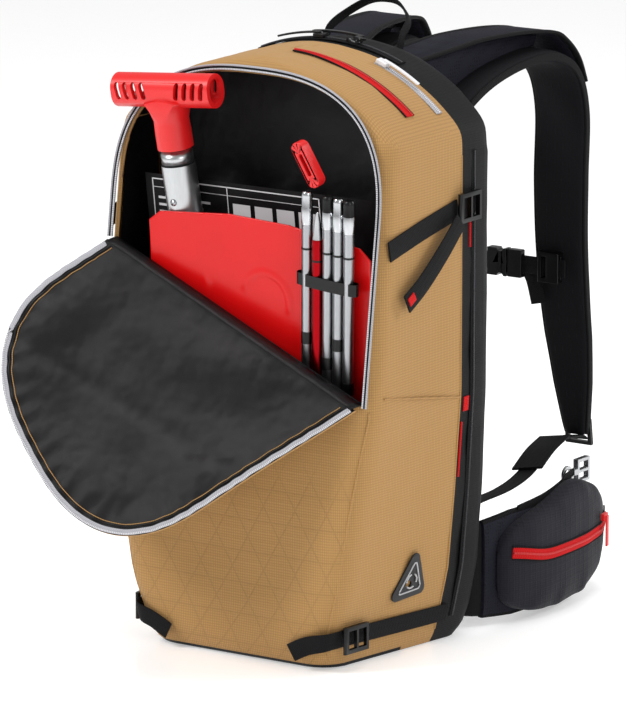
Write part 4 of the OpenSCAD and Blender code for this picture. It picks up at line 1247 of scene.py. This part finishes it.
def build_bag(word, k):
    rows, around = 48, 36
    section = pad_section(2, 2, around, 0.5)
    bm = bmesh.new()
    surface(bm, rows, around, lambda i, j: bag_at(i / rows, *section[j % around], k))
    close_mesh(bm)
    for f in bm.faces:
        f.smooth = True
    piece("hip_bag_" + word, bm, "hip_" + word, ["navy_ripstop"], ("hip_pocket_" + word,))
    # The pocket's zip: red tape with its coil, on the outer face.
    run_z = sum(v[2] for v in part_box("hip_zip_slider_" + word)) / 2 / MM
    face = []
    for step in range(2, 48):
        f = step / 49
        middle, half, _ = bag_span(f)
        z = run_z + 9 * smoothstep(0.3, 0.0, f) + 12 * smoothstep(0.84, 1.0, f)
        a = max(-0.9, min(0.9, (z - middle) / half))
        face.append(bag_at(f, a, (1 - a ** 4) ** 0.25, k) + Vector((k * 0.9, 0, 0)))
    face = even(face, 4)
    bm = bmesh.new()
    sweep(bm, face, (0, 0, 1), flat_section(11, 1.4))
    tube(bm, [p + Vector((k * 1.0, 0, 0)) for p in face], 2.4, mat=1)
    for way in (-1, 1):
        tube(bm, [p + Vector((0, 0, way * 6.2)) for p in face], 1.8, mat=2)
    close_mesh(bm)
    piece("hip_zip_" + word, bm, "hip_" + word, ["red_webbing", "red_coil", "binding"])
    refined("hip_zip_slider_" + word, "red_plastic", 0.5)


def build_hip():
    for word, k in SIDES:
        body = "hip_" + word
        line = spline(mirrored([on_belt(0, d, WING_Z) for d in (-89, -55, -10, 35, 80, 117)], k), 6)
        widths = [w / 104 for w in stretched([96, 104, 104, 104, 94, 60], len(line))]
        bm = bmesh.new()
        sweep(bm, line, (0, 0, 1), pad_section(100, 11, 28, 0.4), widths)
        close_mesh(bm)
        piece("hip_pad_" + word, bm, body, ["air_mesh"], ("hip_wing_" + word,))
        bm = bmesh.new()
        bind(bm, line, (0, 0, 1), 50, pad_section(7, 4, 10), widths)
        close_mesh(bm)
        piece("hip_binding_" + word, bm, body, ["binding"])
        build_bag(word, k)
        # The belt's root: padded cloth from behind the lumbar cushion to the wing.
        root = spline(mirrored([(70, BACK_Y + 5, 58), (100, BACK_Y + 7, 57), (120, BACK_Y + 11, 56),
                                on_belt(-1, -82, 56), on_belt(0, -66, 56)], k), 5)
        bm = bmesh.new()
        sweep(bm, root, (0, 0, 1), pad_section(94, 9, 24, 0.4))
        close_mesh(bm)
        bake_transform(piece("hip_root_" + word, bm, None, ["cordura"]))
    refined("belt_buckle_loop", "aluminium", 0.6)
    refined("belt_buckle_hook", "aluminium", 0.6)
    band("belt_tab", [on_belt(2, -40, 104), on_belt(3, 0, 108), on_belt(2, 36, 113), (138, 268, 117),
                      (134, 288, 117)], 16, 2, (0.25, 0, 1), "webbing", "hip_right")


# ---- Shovel and probe --------------------------------------------------------------------------
BLADE_TURN = math.radians(3)
BLADE_HALF = 125.0
BLADE_LONG = 306.0
# The grip's arms are drawn shorter beyond GRIP_CORE from its middle, in metres.
GRIP_CORE = 0.018
GRIP_TRIM = 0.13
PROBE_LEAN = math.radians(5.4)
PROBE_LONG = 345
PROBE_PITCH = 11.6
PROBE_R = 5.5
# The probe's finishes, in slot order.
TUBE, RED, BRIGHT, BLACK, TIP = range(5)


def blade_point(x, z, depth):
    c, s = math.cos(BLADE_TURN), math.sin(BLADE_TURN)
    return in_pocket(4 + c * x + s * (z + 6), -TUBE_R - 1.2 - depth, -s * x + c * (z + 6))


def blade_relief(x, z):
    """Pressed ribs on the blade: two uprights and a hook between them."""
    ax = abs(x)
    rib = math.exp(-((ax - 62) / 4.5) ** 4) * smoothstep(50, 66, z) * (1 - smoothstep(240, 256, z))
    hook = math.exp(-((math.hypot(x - 6, z - 236) - 26) / 3.2) ** 4) * smoothstep(-4, 8, z - 236 + 0.3 * x)
    return 1.3 * max(rib, hook) + 0.8 * math.exp(-((BLADE_HALF - ax) / 5) ** 2)


def build_shovel():
    grip = refined("shovel_grip", "red_plastic", 1.0, sharp=34)
    middle = in_pocket(-86, 0, 430) * MM
    for v in grip.data.vertices:
        far = max(0.0, abs(v.co.x - middle.x) - GRIP_CORE)
        v.co.x -= math.copysign(far * GRIP_TRIM, v.co.x - middle.x)
    for name, look in (("shovel_upper_shaft", "aluminium"), ("shovel_lower_shaft", "aluminium"),
                       ("shaft_button", "steel")):
        refined(name, look, 0)
    w, l = BLADE_HALF, BLADE_LONG
    outline = [(-w, 34), (10 - w, 10), (-60, 0), (60, 0), (w - 10, 10), (w, 34), (w, l - 12),
               (w - 12, l - 2), (34, l + 8), (-34, l + 8), (12 - w, l - 2), (-w, l - 12)]
    bm = bmesh.new()
    bmesh.ops.create_grid(bm, x_segments=100, y_segments=110, size=0.5)
    for v in bm.verts:
        v.co = Vector((v.co.x * (2 * w + 2), (v.co.y + 0.5) * (l + 10), 0)) * MM
    clip(bm, outline)
    for v in bm.verts:
        p = v.co / MM
        v.co = blade_point(p.x, p.y, 1.8 + blade_relief(p.x, p.y)) * MM
    bmesh.ops.recalc_face_normals(bm, faces=bm.faces)
    if sum(f.normal.y > 0 for f in bm.faces) > len(bm.faces) / 2:
        bmesh.ops.reverse_faces(bm, faces=bm.faces)
    piece("shovel_blade_sheet", bm, "blade", ["red_gloss"], ("shovel_blade",), sharp=60, thick=1.8)


def lathe(bm, profile, place, mat=0, n=28):
    """A turned shape: profile gives (radius, height), place puts a point of its own frame."""
    surface(bm, len(profile) - 1, n, lambda i, j: place(
        profile[i][0] * math.cos(2 * math.pi * j / n), profile[i][0] * math.sin(2 * math.pi * j / n),
        profile[i][1]), mat=mat)


def build_probe():
    c, s = math.cos(PROBE_LEAN), math.sin(PROBE_LEAN)
    depth = -(TUBE_R + 1.2 + 3 + 1.6 + 1.2 + PROBE_R)
    foot = 14 - PROBE_LONG

    def stand(k):
        """Puts a point of tube k, which stands k places to the right, among the tools."""
        return lambda x, y, z: in_pocket(108 + c * (k * PROBE_PITCH + x) + s * (z + foot), depth + y,
                                         344 - s * (k * PROBE_PITCH + x) + c * (z + foot))

    bm = bmesh.new()
    for k in range(-2, 3):
        place = stand(k)
        red = k == -1
        base = -10 if red else 0
        top = PROBE_LONG - 14 - (26 if red else 0) + base
        lathe(bm, [(0, base), (4.6, base), (5.3, base + 1), (5.3, top - 20)], place, RED if red else TUBE)
        if red:
            lathe(bm, [(5.3, top - 20), (5.4, top - 20), (5.4, top), (4.9, top + 3)], place, RED)
            lathe(bm, [(4.9, top + 3), (4.6, top + 4), (3.0, top + 20), (1.4, top + 29), (0, top + 30)],
                  place, TIP)
        else:
            lathe(bm, [(5.3, top - 20), (5.5, top - 19.5), (5.5, top - 4), (5.2, top - 3.5)], place, BRIGHT)
            lathe(bm, [(5.2, top - 3.5), (5.2, top + 8), (4.6, top + 11), (3.6, top + 12), (0, top + 12)],
                  place, BLACK if k in (0, 2) else BRIGHT)
        for z, tall in ((60 + 34 * (k % 3), 3), (150 + 21 * ((k + 1) % 3), 12), (286, 2)):
            lathe(bm, [(5.3, base + z), (5.5, base + z), (5.5, base + z + tall), (5.3, base + z + tall)],
                  place, BLACK)
    close_mesh(bm, fill=False)
    place = stand(0)
    for z in (40, 250):
        # A strap round all five tubes, 6 mm tall.
        surface(bm, 2, 40, lambda i, j: place(
            33.5 * math.cos(2 * math.pi * j / 40),
            5.9 * math.copysign(abs(math.sin(2 * math.pi * j / 40)) ** 0.5, math.sin(2 * math.pi * j / 40)),
            z + 6 * i), mat=BLACK)
    bmesh.ops.remove_doubles(bm, verts=bm.verts, dist=1e-6)
    bmesh.ops.recalc_face_normals(bm, faces=bm.faces)
    piece("probe_tubes", bm, "probe", ["probe_tube", "probe_red", "polished", "buckle", "polished"],
          ("probe_segments",), sharp=34)
    refined("probe_tensioner", "red_plastic", 1.2)


# ---- Stage -------------------------------------------------------------------------------------
CAMERA_TARGET = (21.25, 0.0, 272.9)
CAMERA_WAY = (0.546, -0.809, 0.216)
CAMERA_FAR = 6.0
SENSOR = 36.0
FRAME_WIDTH = 627.0
# The focal length in the frame's own units, of which it is FRAME_WIDTH wide.
FOCAL = 6300.0
FLOOR_DROP = 0.0008
WORLD_LIGHT = 0.5
LAMPS_AIM = (0, 0, 0.3)
# Each lamp's name, place, size and power.
LAMPS = (("key", (-1.9, -2.6, 2.6), 1.0, 88), ("fill", (2.8, -1.6, 1.5), 1.4, 26),
         ("top", (0.2, 0.3, 3.2), 1.6, 42), ("rim", (2.2, 2.4, 1.8), 1.0, 40))


def build_stage():
    scene = bpy.context.scene
    back = Vector(CAMERA_WAY).normalized()
    cam = bpy.data.objects.new("camera", bpy.data.cameras.new("camera"))
    cam.location = Vector(CAMERA_TARGET) * MM + back * CAMERA_FAR
    cam.rotation_euler = (-back).to_track_quat("-Z", "Y").to_euler()
    cam.data.sensor_fit = "HORIZONTAL"
    cam.data.sensor_width = SENSOR
    cam.data.lens = FOCAL * SENSOR / FRAME_WIDTH
    cam.data.clip_end = 60
    scene.collection.objects.link(cam)
    scene.camera = cam
    bm = bmesh.new()
    bmesh.ops.create_grid(bm, x_segments=1, y_segments=1, size=15)
    mesh = bpy.data.meshes.new("floor")
    bm.to_mesh(mesh)
    bm.free()
    floor = bpy.data.objects.new("floor", mesh)
    floor.location.z = -FLOOR_DROP
    mesh.materials.append(finish("floor"))
    scene.collection.objects.link(floor)
    world = bpy.data.worlds.new("studio")
    world.use_nodes = True
    ground = world.node_tree.nodes["Background"]
    ground.inputs[0].default_value = (1, 1, 1, 1)
    ground.inputs[1].default_value = WORLD_LIGHT
    scene.world = world
    for name, spot, size, power in LAMPS:
        lamp = bpy.data.objects.new(name, bpy.data.lights.new(name, "AREA"))
        lamp.data.size = size
        lamp.data.energy = power
        lamp.location = spot
        lamp.rotation_euler = (Vector(LAMPS_AIM) - Vector(spot)).to_track_quat("-Z", "Y").to_euler()
        scene.collection.objects.link(lamp)
    scene.view_settings.view_transform = "Standard"
    scene.view_settings.look = "None"


# ---- Add-on ------------------------------------------------------------------------------------
class PackSizes(bpy.types.PropertyGroup):
    """Sizes that a user may change."""

    slack: bpy.props.FloatProperty(name="Fabric slack", description="How far the shell's fabric swells",
                                   default=0.0022, min=0, max=0.006, unit="LENGTH")
    flap_open: bpy.props.FloatProperty(name="Flap", description="How far the flap is folded open",
                                       default=math.radians(158), subtype="ANGLE")


class PackColours(bpy.types.PropertyGroup):
    """Colours as sRGB hex values."""

    tan: bpy.props.StringProperty(name="Shell", description="Face fabric of the shell", default="#B28850")
    black: bpy.props.StringProperty(name="Back", description="Cloth of the back and base", default="#101012")
    navy: bpy.props.StringProperty(name="Harness", description="Mesh and cloth of the harness",
                                   default="#1C1C26")
    red: bpy.props.StringProperty(name="Accent", description="Zips, grip and handle", default="#D8181A")
    lining: bpy.props.StringProperty(name="Lining", description="Lining of the pocket and flap",
                                     default="#0F0E10")


class PACK_OT_stage(bpy.types.Operator):
    """Sets the floor, the lights and the camera"""

    bl_idname = "pack.stage"
    bl_label = "Stage"

    def execute(self, context):
        build_stage()
        return {"FINISHED"}


class PACK_OT_shell(bpy.types.Operator):
    """Sews the outer shell with its seams"""

    bl_idname = "pack.shell"
    bl_label = "Shell"

    def execute(self, context):
        build_shell()
        build_seams()
        return {"FINISHED"}


class PACK_OT_lining(bpy.types.Operator):
    """Lines the tool pocket and hangs its sleeve"""

    bl_idname = "pack.lining"
    bl_label = "Lining"

    def execute(self, context):
        build_lining()
        return {"FINISHED"}


class PACK_OT_opening(bpy.types.Operator):
    """Edges the opening with its zip and piping"""

    bl_idname = "pack.opening"
    bl_label = "Opening"

    def execute(self, context):
        build_opening()
        return {"FINISHED"}


class PACK_OT_flap(bpy.types.Operator):
    """Folds the flap down with its zip and stitching"""

    bl_idname = "pack.flap"
    bl_label = "Flap"

    def execute(self, context):
        build_flap()
        return {"FINISHED"}


class PACK_OT_top(bpy.types.Operator):
    """Adds the zips on the dome and the haul loop"""

    bl_idname = "pack.top"
    bl_label = "Top"

    def execute(self, context):
        build_top_zips()
        build_haul_loop()
        return {"FINISHED"}


class PACK_OT_straps(bpy.types.Operator):
    """Adds the compression and base straps, their buckles and the patch"""

    bl_idname = "pack.straps"
    bl_label = "Side straps"

    def execute(self, context):
        build_side_trim()
        return {"FINISHED"}


class PACK_OT_harness(bpy.types.Operator):
    """Adds the shoulder straps, the yoke, the sternum strap and the back cushions"""

    bl_idname = "pack.harness"
    bl_label = "Harness"

    def execute(self, context):
        build_shoulder()
        build_sternum()
        build_back()
        return {"FINISHED"}


class PACK_OT_hip(bpy.types.Operator):
    """Adds the hip belt with its pockets and buckle"""

    bl_idname = "pack.hip"
    bl_label = "Hip belt"

    def execute(self, context):
        build_hip()
        return {"FINISHED"}


class PACK_OT_tools(bpy.types.Operator):
    """Adds the shovel and the probe"""

    bl_idname = "pack.tools"
    bl_label = "Tools"

    def execute(self, context):
        build_shovel()
        build_probe()
        return {"FINISHED"}


OPERATORS = (PACK_OT_stage, PACK_OT_shell, PACK_OT_lining, PACK_OT_opening, PACK_OT_flap, PACK_OT_top,
             PACK_OT_straps, PACK_OT_harness, PACK_OT_hip, PACK_OT_tools)


class PACK_PT_sidebar(bpy.types.Panel):
    """Lists the pack's sizes, colours and parts"""

    bl_idname = "PACK_PT_sidebar"
    bl_label = "Backpack"
    bl_space_type = "VIEW_3D"
    bl_region_type = "UI"
    bl_category = "Backpack"

    def draw(self, context):
        layout = self.layout
        for group in (context.scene.pack_sizes, context.scene.pack_colours):
            for key in group.__annotations__:
                layout.prop(group, key)
        for operator in OPERATORS:
            layout.operator(operator.bl_idname)


CLASSES = (PackSizes, PackColours) + OPERATORS + (PACK_PT_sidebar,)


def register():
    for cls in CLASSES:
        bpy.utils.register_class(cls)
    bpy.types.Scene.pack_sizes = bpy.props.PointerProperty(type=PackSizes)
    bpy.types.Scene.pack_colours = bpy.props.PointerProperty(type=PackColours)


def unregister():
    del bpy.types.Scene.pack_colours
    del bpy.types.Scene.pack_sizes
    for cls in reversed(CLASSES):
        bpy.utils.unregister_class(cls)


def main():
    register()
    for operator in OPERATORS:
        group, action = operator.bl_idname.split(".")
        getattr(getattr(bpy.ops, group), action)()


if __name__ == "__main__":
    main()
